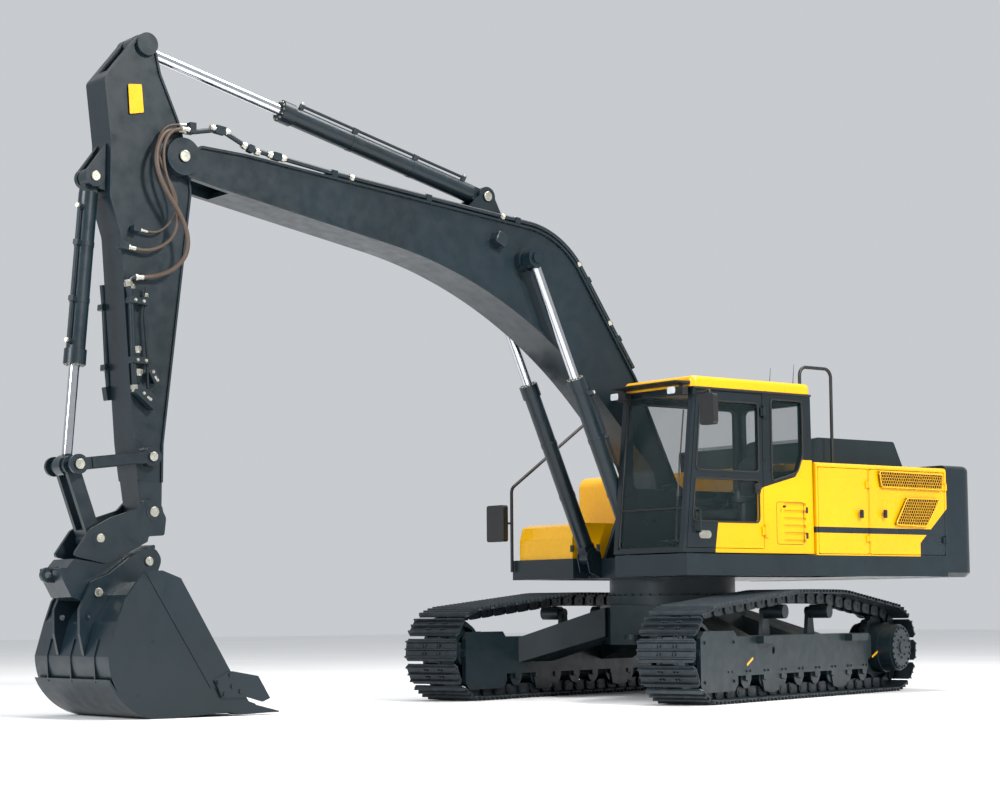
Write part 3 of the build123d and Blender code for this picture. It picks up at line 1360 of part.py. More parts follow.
# Hydraulic cylinders: a bored tube with base eye and gland, and a rod with its own eye.
# name: base pin, rod pin, middles, tube radius, rod radius, gland from base, inner rod end,
# base eye width, rod eye width, pin radius at the base
cylinders = {
    "lift": (
        LIFT_BASE, LIFT_EYE, (-LIFT_Y, LIFT_Y), 80.0, 47.0, 1880.0, 1125.0, LIFT_EYE_WIDE, LIFT_EYE_WIDE, LIFT_PIN
    ),
    "arm": (ARM_BASE, ARM_EYE, (0.0,), 90.0, 55.0, 2362.0, 1530.0, 140.0, 150.0, 50.0),
    "curl": (CURL_BASE, CURL_EYE, (0.0,), 82.0, 45.0, 1620.0, 700.0, 110.0, 110.0, 45.0),
}
for name, row in cylinders.items():
    base, eye, middles, tube_radius, rod_radius, gland, inner_end, base_wide, eye_wide, pin = row
    aim = angle(base, eye)
    long = span(base, eye)
    shoulder = pin + 88
    with BuildPart() as tube:
        for y in middles:
            with BuildSketch(side(*base, y, aim=aim)):
                Circle(pin + 38)
                with Locations((shoulder / 2, 0)):
                    Rectangle(shoulder, 2 * pin + 30)
            extrude(amount=base_wide / 2, both=True)
            flank = side(*base, y, aim=aim)
            along = Plane(origin=flank.from_local_coords((shoulder, 0, 0)), z_dir=flank.x_dir)
            with BuildSketch(along):
                Circle(tube_radius)
            extrude(amount=gland - shoulder)
            with BuildSketch(along.offset(gland - shoulder - 130)):
                Circle(tube_radius + 14)
            extrude(amount=130)
            with BuildSketch(along.offset(40)):
                Circle(rod_radius + RUN)
            extrude(amount=gland, mode=Mode.SUBTRACT)
            with BuildSketch(side(*base, y, aim=aim)):
                Circle(pin + RUN)
            extrude(amount=base_wide, both=True, mode=Mode.SUBTRACT)
    tube.part.label = f"{name}_cylinder_tube"
    export_step(tube.part, f"parts/{name}_cylinder_tube.step")
    with BuildPart() as rod:
        for y in middles:
            flank = side(*base, y, aim=aim)
            along = Plane(origin=flank.from_local_coords((inner_end, 0, 0)), z_dir=flank.x_dir)
            with BuildSketch(along):
                Circle(rod_radius)
            extrude(amount=long - inner_end - 40)
            with BuildSketch(side(*eye, y)):
                Circle(rod_radius + 48)
            extrude(amount=eye_wide / 2, both=True)
            if name == "lift":
                with BuildSketch(side(*eye, y)):
                    Circle(LIFT_PIN + 6)
                extrude(amount=-(1 if y > 0 else -1) * (eye_wide / 2 + 22))
    rod.part.label = f"{name}_cylinder_rod"
    export_step(rod.part, f"parts/{name}_cylinder_rod.step")

# Guide links beside the arm, with stub pins that end beside the bucket link
LINK_OUT = 108.0
with BuildPart() as guide_links:
    for face in (-1, 1):
        with BuildSketch(side(*GUIDE_PIN, face * GUIDE_NEAR, aim=angle(GUIDE_PIN, CURL_EYE))):
            with Locations((span(GUIDE_PIN, CURL_EYE) / 2, 0)):
                Rectangle(span(GUIDE_PIN, CURL_EYE), 100)
            with Locations((0, 0), (span(GUIDE_PIN, CURL_EYE), 0)):
                Circle(84)
            Circle(42 + RUN, mode=Mode.SUBTRACT)
        extrude(amount=-face * GUIDE_PLATE)
        # raised rib along the bar
        with BuildSketch(side(*GUIDE_PIN, face * GUIDE_NEAR, aim=angle(GUIDE_PIN, CURL_EYE))):
            with Locations((span(GUIDE_PIN, CURL_EYE) / 2, 0)):
                Rectangle(span(GUIDE_PIN, CURL_EYE) - 240, 84)
        extrude(amount=-face * (GUIDE_PLATE + 12))
        with BuildSketch(side(*CURL_EYE, face * (LINK_OUT + EYE_GAP))):
            Circle(45)
        extrude(amount=-face * (GUIDE_NEAR + GUIDE_PLATE + 18 - LINK_OUT - EYE_GAP))
guide_links.part.label = "guide_links"
export_step(guide_links.part, "parts/guide_links.step")

# Bucket link: two cheeks round the rod eye, joined lower down
LINK_IN = 62.0
LINK_LONG = span(COUPLER_PIN, CURL_EYE)
COUPLER_PIN_RADIUS = 40.0
with BuildPart() as bucket_link:
    with BuildSketch(side(*COUPLER_PIN, aim=angle(COUPLER_PIN, CURL_EYE))):
        with Locations((LINK_LONG / 2, 0)):
            SlotCenterToCenter(LINK_LONG, 124)
        with Locations((LINK_LONG, 0)):
            Circle(80)
        Circle(74)
    extrude(amount=LINK_OUT, both=True)
    with BuildSketch(side(*COUPLER_PIN, aim=angle(COUPLER_PIN, CURL_EYE))):
        with Locations((LINK_LONG / 2 + 130, 0)):
            Rectangle(LINK_LONG + 60, 400)
    extrude(amount=LINK_IN, both=True, mode=Mode.SUBTRACT)
    with BuildSketch(side(*COUPLER_PIN)):
        Circle(COUPLER_PIN_RADIUS + RUN)
    extrude(amount=LINK_OUT + 1, both=True, mode=Mode.SUBTRACT)
bucket_link.part.label = "bucket_link"
export_step(bucket_link.part, "parts/bucket_link.step")

# Quick coupler: two side plates to the arm and link pins, on a body with hooks for the
# bucket's pins and a lifting eye behind
BUCKET_PIN = 40.0
COUPLER_BODY = COUPLER_IN + COUPLER_PLATE - 10.0
LIFT_HOLE = 28.0
LIFT_RING = (7015.0, 1190.0)
with BuildPart() as coupler:
    for face in (-1, 1):
        with BuildSketch(side(0, 0, face * COUPLER_IN)):
            with BuildLine():
                FilletPolyline(
                    (COUPLER_PIN[0] + 252, COUPLER_PIN[1] - 150),
                    (COUPLER_PIN[0] + 92, COUPLER_PIN[1] + 75),
                    (COUPLER_PIN[0] - 100, COUPLER_PIN[1] + 175),
                    (ARM_TIP[0] + 160, ARM_TIP[1] + 23),
                    (ARM_TIP[0] + 90, ARM_TIP[1] + 97),
                    (ARM_TIP[0] - 30, ARM_TIP[1] + 100),
                    (ARM_TIP[0] - 116, ARM_TIP[1] - 50),
                    (ARM_TIP[0] - 99, ARM_TIP[1] - 200),
                    (ARM_TIP[0] + 52, ARM_TIP[1] - 210),
                    (ARM_TIP[0] + 61, ARM_TIP[1] - 255),
                    (COUPLER_PIN[0] - 70, COUPLER_PIN[1] - 215),
                    close=True,
                    radius=[30, 60, 200, 90, 50, 80, 60, 25, 20, 15, 120],
                )
            make_face()
        extrude(amount=-face * COUPLER_PLATE)
    # body: top edge from the front, hook round the rear pin, underside, hook over the front pin
    with BuildSketch(side(0, 0)) as hooks:
        with BuildLine():
            Polyline(
                (BUCKET_FRONT_PIN[0] - 100, BUCKET_FRONT_PIN[1] + 150),
                (BUCKET_FRONT_PIN[0] + 59, BUCKET_FRONT_PIN[1] + 88),
                (BUCKET_REAR_PIN[0] - 67, BUCKET_REAR_PIN[1] + 240),
                (BUCKET_REAR_PIN[0] + 191, BUCKET_REAR_PIN[1] + 282),
                (BUCKET_REAR_PIN[0] + 257, BUCKET_REAR_PIN[1] + 205),
                (BUCKET_REAR_PIN[0] + 325, BUCKET_REAR_PIN[1] + 205),
                (BUCKET_REAR_PIN[0] + 290, BUCKET_REAR_PIN[1] + 99),
                (BUCKET_REAR_PIN[0] + 212, BUCKET_REAR_PIN[1] - 38),
                (BUCKET_REAR_PIN[0] + 110, BUCKET_REAR_PIN[1] - 66),
                (BUCKET_REAR_PIN[0] - 32, BUCKET_REAR_PIN[1] - 68),
                (BUCKET_REAR_PIN[0] - 82, BUCKET_REAR_PIN[1] + 18),
                (BUCKET_FRONT_PIN[0] + 100, BUCKET_FRONT_PIN[1] - 104),
                (BUCKET_FRONT_PIN[0] + 40, BUCKET_FRONT_PIN[1] - 72),
                (BUCKET_FRONT_PIN[0] - 62, BUCKET_FRONT_PIN[1] - 52),
                (BUCKET_FRONT_PIN[0] - 84, BUCKET_FRONT_PIN[1] + 40),
                close=True,
            )
        make_face()
        fillet(hooks.vertices(), 14)
    extrude(amount=COUPLER_BODY, both=True)
    # room for the bucket link's boss and the arm's end between the side plates
    for pin, radius, half in ((COUPLER_PIN, 92, COUPLER_IN), (ARM_TIP, 125, COUPLER_IN)):
        with BuildSketch(side(*pin)):
            Circle(radius)
        extrude(amount=half, both=True, mode=Mode.SUBTRACT)
    # pins with their collars
    for pin, radius in ((ARM_TIP, 45.0), (COUPLER_PIN, COUPLER_PIN_RADIUS)):
        for face in (-1, 1):
            with BuildSketch(side(*pin, face * COUPLER_IN)):
                Circle(radius + 33)
            extrude(amount=-face * (COUPLER_PLATE + 3))
        with BuildSketch(side(*pin)):
            Circle(radius)
        extrude(amount=COUPLER_IN + COUPLER_PLATE + PIN_HEAD, both=True)
    for pin in (BUCKET_FRONT_PIN, BUCKET_REAR_PIN):
        with BuildSketch(side(*pin)):
            Circle(BUCKET_PIN + RUN)
        extrude(amount=COUPLER_IN + COUPLER_PLATE + 1, both=True, mode=Mode.SUBTRACT)
    with BuildSketch(side(0, 0)):
        with BuildLine():
            ring_x, ring_z = LIFT_RING
            Polyline((6870, 1120), (6900, 1262), (ring_x - 8, ring_z + 61), (ring_x + 12, ring_z - 61), close=True)
        make_face()
        with Locations(LIFT_RING):
            Circle(63)
            Circle(LIFT_HOLE, mode=Mode.SUBTRACT)
    extrude(amount=LUG / 2, both=True)
coupler.part.label = "quick_coupler"
export_step(coupler.part, "parts/quick_coupler.step")

# Bucket: a bent shell with side plates, pin ears, five teeth and side cutters
EAR_IN = COUPLER_IN + COUPLER_PLATE + 14.0
with BuildPart() as bucket:
    with BuildSketch(side(0, 0)):
        with BuildLine():
            Polyline((6142, 1156), (5660, 400), (5440, 92), (5560, 40), (6150, 4))
            ThreePointArc((6150, 4), (6640, 150), (6792, 515))
            Polyline((6792, 515), (6710, 800), (6560, 1020), (6370, 1130), (6142, 1156))
        make_face()
    extrude(amount=BUCKET_HALF, both=True)
    with BuildSketch(side(0, 0)):
        with BuildLine():
            Polyline((6090, 1115), (5400, 300), (5380, 98), (5560, 72), (6150, 36))
            ThreePointArc((6150, 36), (6615, 172), (6760, 515))
            Polyline((6760, 515), (6682, 782), (6540, 992), (6360, 1098), (6090, 1115))
        make_face()
    extrude(amount=BUCKET_HALF - BUCKET_PLATE, both=True, mode=Mode.SUBTRACT)
    # side plates rise over the shell, with a thicker band along their front edges
    for face in (-1, 1):
        with BuildSketch(side(0, 0, face * BUCKET_HALF)):
            with BuildLine():
                Polyline(
                    (6142, 1156), (6302, 1219), (6466, 1211), (6648, 977), (6710, 800), (6560, 1020), (6370, 1130),
                    close=True,
                )
            make_face()
        extrude(amount=face * BUCKET_PLATE)
        with BuildSketch(side(0, 0, face * BUCKET_HALF)):
            with BuildLine():
                Polyline(
                    (6128, 1156), (6302, 1219), (6466, 1211), (5838, 243), (5560, 243), (5660, 400), close=True
                )
            make_face()
        extrude(amount=-face * 8)
    # heel band round the bottom and three wear strips up the back
    with BuildSketch(side(0, 0)):
        with BuildLine():
            ThreePointArc((6168, 12), (6630, 158), (6778, 330))
            Line((6778, 330), (6792, 330))
            ThreePointArc((6792, 330), (6652, 136), (6170, 1))
            Line((6170, 1), (6168, 12))
        make_face()
    extrude(amount=BUCKET_HALF, both=True)
    for y in (-420, 0, 420):
        with BuildSketch(side(0, 0, y)):
            with BuildLine():
                Polyline((6735, 300), (6786, 300), (6801, 515), (6765, 660), (6700, 640), close=True)
            make_face()
        extrude(amount=9, both=True)
    # ears that carry the pins, tapering to points on the shell's back
    for face in (-1, 1):
        with BuildSketch(side(0, 0, face * EAR_IN)) as ear:
            with BuildLine():
                FilletPolyline(
                    (BUCKET_FRONT_PIN[0] - 60, BUCKET_FRONT_PIN[1] - 170),
                    (BUCKET_FRONT_PIN[0] - 128, BUCKET_FRONT_PIN[1] + 20),
                    (BUCKET_FRONT_PIN[0] - 60, BUCKET_FRONT_PIN[1] + 118),
                    (BUCKET_FRONT_PIN[0] + 95, BUCKET_FRONT_PIN[1] + 88),
                    (BUCKET_REAR_PIN[0] - 110, BUCKET_REAR_PIN[1] + 158),
                    (BUCKET_REAR_PIN[0] + 60, BUCKET_REAR_PIN[1] + 92),
                    (BUCKET_REAR_PIN[0] + 103, BUCKET_REAR_PIN[1] + 10),
                    (BUCKET_REAR_PIN[0] + 170, BUCKET_REAR_PIN[1] - 140),
                    (6838, 700),
                    (6795, 520),
                    (6765, 540),
                    (6680, 780),
                    (6540, 990),
                    (6350, 1110),
                    close=True,
                    radius=[20, 90, 70, 60, 80, 60, 60, 90, 60, 4, 6, 60, 60, 60],
                )
            make_face()
            with Locations((BUCKET_REAR_PIN[0] + 95, BUCKET_REAR_PIN[1] - 205)):
                Circle(24, mode=Mode.SUBTRACT)
        extrude(amount=-face * LUG)
    for pin in (BUCKET_FRONT_PIN, BUCKET_REAR_PIN):
        with BuildSketch(side(*pin)):
            Circle(BUCKET_PIN)
        extrude(amount=EAR_IN + LUG + 12, both=True)
    # teeth with their adapters along the cutting edge
    for number in range(5):
        y = (number - 2) * (2 * BUCKET_HALF - 110) / 4
        # profiles of adapter and point, as (x, z) in a closed run, with their half widths
        for profile, half in (
            (((5640, 122), (5520, 140), (5392, 98), (5392, 14), (5560, 10), (5640, 30)), 52),
            (((5420, 98), (5150, 30), (5150, 20), (5420, 14)), 40),
        ):
            with BuildSketch(side(0, 0, y)):
                with BuildLine():
                    Polyline(*profile, close=True)
                make_face()
            extrude(amount=half, both=True)
    # side cutters, each bolted on by five bolts
    for face in (-1, 1):
        with BuildSketch(side(0, 0, face * BUCKET_HALF)):
            with BuildLine():
                Polyline(
                    (5811, 304), (5641, 377), (5386, 332), (5266, 142), (5339, 113), (5486, 156), (5739, 156),
                    close=True,
                )
            make_face()
        extrude(amount=-face * 30)
        with BuildSketch(side(0, 0, face * BUCKET_HALF)):
            with Locations((5775, 290), (5660, 345), (5560, 205), (5640, 250), (5715, 185)):
                RegularPolygon(20, 6)
        extrude(amount=-face * 42)
bucket.part.label = "bucket"
export_step(bucket.part, "parts/bucket.step")

# Handrails, and the two mirrors on their brackets: all round tubes
RAIL_TUBE = 17.0
RIGHT_RAIL = (930.0, -1462.0)
ROOF_RAIL_Y = 1180.0
MIRROR_LEFT = (1150.0, 1800.0, 2730.0)
MIRROR_RIGHT = (1000.0, -1620.0, 1785.0)
with BuildPart() as rail:
    # tubes: points from foot to end, bend radius, tube radius
    for points, bend, radius in (
        (
            (
                (*RIGHT_RAIL, DECK_HIGH - 120),
                (*RIGHT_RAIL, 2150),
                (-120, RIGHT_RAIL[1], 2900),
                (-420, RIGHT_RAIL[1], 2850),
                (-420, RIGHT_RAIL[1], TANK_TOP + RUN),
            ),
            90,
            RAIL_TUBE,
        ),
        (
            (
                (-700, ROOF_RAIL_Y, BODY_TOP + RUN),
                (-700, ROOF_RAIL_Y, 3300),
                (-1150, ROOF_RAIL_Y, 3300),
                (-1150, ROOF_RAIL_Y, BODY_TOP + RUN),
            ),
            90,
            RAIL_TUBE,
        ),
        (
            (
                (cab_front(2900) - 17, CAB_LEFT, 2900),
                (cab_front(2900) - 17, CAB_LEFT + 45, 2900),
                (1075, MIRROR_LEFT[1] - 100, 2915),
                (MIRROR_LEFT[0] - 20, MIRROR_LEFT[1], 2915),
                (MIRROR_LEFT[0], MIRROR_LEFT[1], 2760),
            ),
            55,
            12,
        ),
        (
            (
                (*RIGHT_RAIL, MIRROR_RIGHT[2]),
                (MIRROR_RIGHT[0] - 10, RIGHT_RAIL[1] - 40, MIRROR_RIGHT[2]),
                (*MIRROR_RIGHT[:2], MIRROR_RIGHT[2]),
            ),
            30,
            12,
        ),
    ):
        with BuildLine():
            tube_run = FilletPolyline(*points, radius=bend)
        with BuildSketch(Plane(origin=tube_run @ 0, z_dir=tube_run % 0)):
            Circle(radius)
        sweep()
    # mirror heads: centre, depth, width, height
    for (x, y, z), deep, wide, high in ((MIRROR_LEFT, 60, 190, 290), (MIRROR_RIGHT, 60, 290, 385)):
        with BuildSketch(front(x - deep / 2, y, z)):
            RectangleRounded(wide, high, 30)
        extrude(amount=deep)
rail.part.label = "handrails"
export_step(rail.part, "parts/handrails.step")
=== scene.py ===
# %% [markdown]
# # Dressing a crawler excavator
# The solids of the machine come in as a fixed frame: every pin, plate and panel already stands at
# its real size and place, in metres, with +X forward along the boom, +Y to the cab side and +Z up.
# Blender adds what shows on top of them: paint, glass, hoses, mesh, bolts, lamps and dust.

# %% Load the frame
from math import atan2, cos, hypot, pi, radians, sin

import bmesh
import bpy
from mathutils import Matrix, Vector


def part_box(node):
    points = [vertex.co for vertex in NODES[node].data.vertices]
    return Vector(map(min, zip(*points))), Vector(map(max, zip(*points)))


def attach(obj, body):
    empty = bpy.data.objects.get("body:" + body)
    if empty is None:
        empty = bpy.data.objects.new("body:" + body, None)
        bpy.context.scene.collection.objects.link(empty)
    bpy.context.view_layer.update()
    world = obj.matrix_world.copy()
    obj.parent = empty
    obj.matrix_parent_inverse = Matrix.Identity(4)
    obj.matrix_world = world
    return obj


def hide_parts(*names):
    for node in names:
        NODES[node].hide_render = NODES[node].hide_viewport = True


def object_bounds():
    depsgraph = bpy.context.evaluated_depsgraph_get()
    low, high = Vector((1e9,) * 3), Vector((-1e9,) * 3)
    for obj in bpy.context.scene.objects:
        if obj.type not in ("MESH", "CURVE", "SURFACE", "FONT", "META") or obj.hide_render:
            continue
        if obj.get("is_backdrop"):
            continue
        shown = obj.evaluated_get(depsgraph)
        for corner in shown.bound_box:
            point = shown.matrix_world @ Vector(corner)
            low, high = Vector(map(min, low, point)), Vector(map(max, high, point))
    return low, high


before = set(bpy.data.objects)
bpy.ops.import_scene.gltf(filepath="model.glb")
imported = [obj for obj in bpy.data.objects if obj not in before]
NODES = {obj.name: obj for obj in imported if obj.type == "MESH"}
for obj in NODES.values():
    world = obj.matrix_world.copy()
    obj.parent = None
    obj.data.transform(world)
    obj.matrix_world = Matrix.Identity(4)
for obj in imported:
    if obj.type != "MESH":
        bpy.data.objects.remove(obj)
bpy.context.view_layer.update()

SCENE = bpy.context.scene

# %% [markdown]
# ## Driving sizes
# A few places are shared by many pieces. They are the pins of the working gear and the faces of the
# cab and bodywork, read from the frame where a node's box gives them.

# %% Driving sizes
# the tracks stand turned under the upper structure by this angle
SWING = radians(18.0)
# pins at the boom's foot and tip, in the middle plane
FOOT, TIP = Vector((0.250, 0, 1.980)), Vector((5.883, 0, 4.817))
SIDE_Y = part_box("house_body")[1][1]
CAB_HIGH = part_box("cab_frame")[1]
# painted fields on the left side, as (x, z) from rear to front, in metres
CAB_SWEEP = (
    (-0.60, 2.33), (-0.42, 2.33), (-0.33, 2.16), (0.10, 2.05),
    (0.64, 1.86), (0.72, 1.75), (0.775, 1.40), (0.78, 0.5),
)
REAR_CORNER = ((-2.52, 1.895), (-2.24, 1.65), (-2.10, 1.53), (-2.09, 0.5))
STRIPE_Z, STRIPE_HALF = 1.645, 0.030
print("bodywork side at", round(SIDE_Y, 3), "cab roof at", round(CAB_HIGH[2], 3))

# %% [markdown]
# ## Colour and node helpers
# Paint colours are written as the sRGB hex values one would read off a paint chip, and shaders work
# in linear light, so one function converts them. A second one adds a node, sets its values and
# plugs in its inputs, which keeps each material to a few readable lines.

# %% Colour and node helpers


def linear(code):
    """sRGB hex code to a linear RGBA colour."""
    out = []
    for i in (0, 2, 4):
        c = int(code[i:i + 2], 16) / 255
        out.append(c / 12.92 if c <= 0.04045 else ((c + 0.055) / 1.055) ** 2.4)
    return (*out, 1.0)


def add(tree, kind, inputs, output=0, stops=(), **settings):
    """Adds a node with its settings, feeds its inputs with values or sockets, and returns the
    output that the next node takes. Stops are a colour ramp's two (position, colour) pairs."""
    node = tree.nodes.new(kind)
    for key, value in settings.items():
        setattr(node, key, value)
    for key, value in inputs.items():
        if isinstance(value, bpy.types.NodeSocket):
            tree.links.new(value, node.inputs[key])
        else:
            node.inputs[key].default_value = value
    if stops:
        for element, (position, colour) in zip(node.color_ramp.elements, stops):
            element.position, element.color = position, colour
    return node.outputs[output]


def grey(v):
    """A linear grey."""
    return (v, v, v, 1)


def new_material(name):
    """A material with its shader and metre coordinates ready."""
    material = bpy.data.materials.new(name)
    material.use_nodes = True
    tree = material.node_tree
    shader = tree.nodes["Principled BSDF"]
    return material, tree, shader, add(tree, "ShaderNodeTexCoord", {}, "Object")


def blotches(place, size, detail):
    """Inputs of a noise whose blotches are about size metres wide, with finer ones on them."""
    return {"Vector": place, "Scale": 1 / size, "Detail": detail, "Roughness": 0.55}


# kinds of node that come often; a mix's two colours are its inputs 6 and 7, and their mix is output 2
NOISE, RAMP, MIX = "ShaderNodeTexNoise", "ShaderNodeValToRGB", "ShaderNodeMix"
MATHS, SPLIT = "ShaderNodeMath", "ShaderNodeSeparateXYZ"


print("helpers ready")

# %% [markdown]
# ## Sprayed paint
# The machine's dark slate and bright yellow are two-pack paints sprayed over welded plate. Spray
# leaves a fine orange peel a few millimetres wide, and dust lies on faces that look up. Both are
# built from noise sized in metres and the surface normal.

# %% Sprayed paint


# sizes of the patterns in metres: dust patches, broad drifts of shade, wiped smears, orange peel;
# real orange peel is 1 to 3 mm wide, and 6 mm is what still shows on a machine of ten metres
DUST_PATCH, DRIFT, SMEAR, PEEL = 0.35, 0.9, 0.12, 0.006
# dust is the dry earth of a yard
DUST = "8B8579"


def dusty(tree, place, base, amount):
    """Mixes dust over a colour where the surface faces up, broken up by noise."""
    normal = add(tree, "ShaderNodeNewGeometry", {}, "Normal")
    level = add(tree, SPLIT, {"Vector": normal}, "Z")
    patches = add(tree, NOISE, blotches(place, DUST_PATCH, 5), "Fac")
    up = add(tree, MATHS, {0: level, 1: patches}, operation="MULTIPLY")
    fac = add(tree, RAMP, {"Fac": up}, "Color", [(0.25, grey(0)), (0.75, grey(amount))])
    return add(tree, MIX, {0: fac, 6: base, 7: linear(DUST)}, 2, data_type="RGBA")


def drift_of(tree, place, code, shade):
    """A paint's colour, a shade off in broad drifts."""
    drift = add(tree, NOISE, blotches(place, DRIFT, 2), "Fac")
    return add(tree, RAMP, {"Fac": drift}, "Color", [(0.35, linear(code)), (0.68, linear(shade))])


def paint(name, code, shade, rough, coat, dust=0.25, second=None, mask=None):
    """Two-pack paint with orange peel; second is another colour where the mask says 1."""
    material, tree, shader, place = new_material(name)
    colour = drift_of(tree, place, code, shade)
    if second:
        other = drift_of(tree, place, *second)
        colour = add(tree, MIX, {0: mask(tree, place), 6: colour, 7: other}, 2, data_type="RGBA")
    colour = dusty(tree, place, colour, dust)
    wiped = add(tree, NOISE, blotches(place, SMEAR, 6), "Fac")
    smear = add(tree, RAMP, {"Fac": wiped}, "Color", [(0.3, grey(rough * 0.8)), (0.75, grey(rough * 1.35))])
    peel = add(tree, NOISE, blotches(place, PEEL, 2), "Fac")
    bump = add(tree, "ShaderNodeBump", {"Strength": 0.06, "Distance": 0.002, "Height": peel})
    tree.links.new(colour, shader.inputs["Base Color"])
    tree.links.new(smear, shader.inputs["Roughness"])
    tree.links.new(bump, shader.inputs["Normal"])
    shader.inputs["Specular IOR Level"].default_value = 0.35
    shader.inputs["Coat Weight"].default_value = coat
    shader.inputs["Coat Roughness"].default_value = 0.12
    return material


print("sprayed paint ready")

# %% [markdown]
# ## Fields and stripes as masks
# The cab's left side is dark with a yellow field whose edge sweeps up to the rear, and the
# bodywork is yellow with a dark stripe and a dark corner. On the machine they are masked off and
# sprayed over. Here each is a mask worked out from the place on the solid: a curve gives the
# height of the edge for each place along the machine, and the mask says what lies under it.

# %% Fields and stripes as masks


def under_line(tree, x, z, points):
    """1 where z lies under the line through points (x, z), which run from rear to front."""
    low_x, span_x, span_z = -3.0, 5.0, 4.0
    ahead = add(tree, MATHS, {0: x, 1: low_x}, operation="SUBTRACT")
    share = add(tree, MATHS, {0: ahead, 1: span_x}, operation="DIVIDE")
    height = add(tree, "ShaderNodeFloatCurve", {"Factor": 1.0, "Value": share}, "Value")
    mapping = height.node.mapping
    line = mapping.curves[0]
    spots = [((px - low_x) / span_x, pz / span_z) for px, pz in points]
    spots = [(0.0, spots[0][1]), *spots, (1.0, spots[-1][1])]
    while len(line.points) < len(spots):
        line.points.new(0.5, 0.5)
    for spot, (px, pz) in zip(line.points, spots):
        spot.location = (px, pz)
        spot.handle_type = "VECTOR"
    mapping.update()
    edge = add(tree, MATHS, {0: height, 1: span_z}, operation="MULTIPLY")
    return add(tree, MATHS, {0: z, 1: edge}, operation="LESS_THAN")


def cab_sweep(tree, place):
    """The yellow field on the cab's left side, rising towards the rear."""
    x, y, z = add(tree, SPLIT, {"Vector": place}).node.outputs
    field = under_line(tree, x, z, CAB_SWEEP)
    outside = add(tree, MATHS, {0: y, 1: CAB_HIGH[1] - 0.06}, operation="GREATER_THAN")
    return add(tree, MATHS, {0: field, 1: outside}, operation="MULTIPLY")


def house_bands(tree, place):
    """The dark stripe along the bodywork and the dark corner under a rising line at the rear."""
    x, y, z = add(tree, SPLIT, {"Vector": place}).node.outputs
    corner = under_line(tree, x, z, REAR_CORNER)
    over = add(tree, MATHS, {0: z, 1: STRIPE_Z}, operation="SUBTRACT")
    off_line = add(tree, MATHS, {0: over}, operation="ABSOLUTE")
    stripe = add(tree, MATHS, {0: off_line, 1: STRIPE_HALF}, operation="LESS_THAN")
    either = add(tree, MATHS, {0: corner, 1: stripe}, operation="MAXIMUM")
    side = add(tree, MATHS, {0: y}, operation="ABSOLUTE")
    outside = add(tree, MATHS, {0: side, 1: SIDE_Y - 0.10}, operation="GREATER_THAN")
    return add(tree, MATHS, {0: either, 1: outside}, operation="MULTIPLY")


print("masks ready")

# %% [markdown]
# ## The machine's paints
# Each paint has a colour and a second shade of it. The dark slate is nearly black, so the sky's
# reflection gives much of what the eye sees of it. Frames near the ground are rougher and dustier
# than the cab, which is washed most often.

# %% The machine's paints
DARK = ("14232A", "101D23")
BRIGHT = ("EBAE00", "E3A600")
# Deck, hood and counterweight: dark slate, half glossy, with dust on the faces that look up.
SLATE = paint("slate_two_pack_paint", *DARK, 0.34, 0.15, 0.16)
# Boom, arm and bucket: the same slate over plate, a touch darker, less coated and less dusty.
GEAR = paint("slate_paint_on_welded_plate", "13222A", "0F1C22", 0.34, 0.12, 0.10)
# Tanks, boxes and cab roof: clear bright yellow with a strong glossy coat.
YELLOW = paint("yellow_two_pack_paint", *BRIGHT, 0.28, 0.5, 0.08)
# Bodywork and doors: that yellow with the dark stripe and rear corner sprayed over it.
BANDED = paint("yellow_paint_with_dark_bands", *BRIGHT, 0.28, 0.5, 0.08, DARK, house_bands)
# Track frames: slate gone dull, under the most dust.
LOWER = paint("slate_paint_on_track_frames", "16252B", "121F24", 0.42, 0.2, 0.30)
# Cab and its door: the darkest slate, nearly free of dust, with the yellow field.
CAB_PAINT = paint("slate_cab_paint_with_yellow_field", "111D23", "0E181D", 0.32, 0.15, 0.05,
                  BRIGHT, cab_sweep)
print("paints", [m.name for m in (SLATE, GEAR, YELLOW, BANDED, LOWER, CAB_PAINT)])

# %% [markdown]
# ## Steel, chrome, rubber, glass
# Track chains are hardened steel that left the works with a thin bluish primer, polished where
# rollers touch. Rods are hard chrome: ground round, so their fine marks run round them. Trim is
# moulded plastic with a fine grain, and hoses are rubber under a brown spiral guard.

# %% Steel, chrome, rubber, glass


# sizes in metres: stains and rubbed places on metal, clouds in plastic, film of dirt on glass;
# each finish gives its own grain, 2 to 6 mm wide where the real one is finer, so that it shows
STAIN, RUB, CLOUD, FILM = 0.08, 0.05, 0.2, 0.25


def metal(name, code, shade, rough, metallic, grain=0.004, strength=0.15):
    """Metal in two close shades, with its wear in blotches and a grain given in metres."""
    material, tree, shader, place = new_material(name)
    stain = add(tree, NOISE, blotches(place, STAIN, 5), "Fac")
    rub = add(tree, NOISE, blotches(place, RUB, 4), "Fac")
    pits = add(tree, NOISE, blotches(place, grain, 3), "Fac")
    tone = add(tree, RAMP, {"Fac": stain}, "Color", [(0.35, linear(code)), (0.7, linear(shade))])
    wear = add(tree, RAMP, {"Fac": rub}, "Color", [(0.3, grey(rough * 0.75)), (0.7, grey(rough * 1.25))])
    bump = add(tree, "ShaderNodeBump", {"Strength": strength, "Distance": 0.001, "Height": pits})
    tree.links.new(tone, shader.inputs["Base Color"])
    tree.links.new(wear, shader.inputs["Roughness"])
    tree.links.new(bump, shader.inputs["Normal"])
    shader.inputs["Metallic"].default_value = metallic
    return material


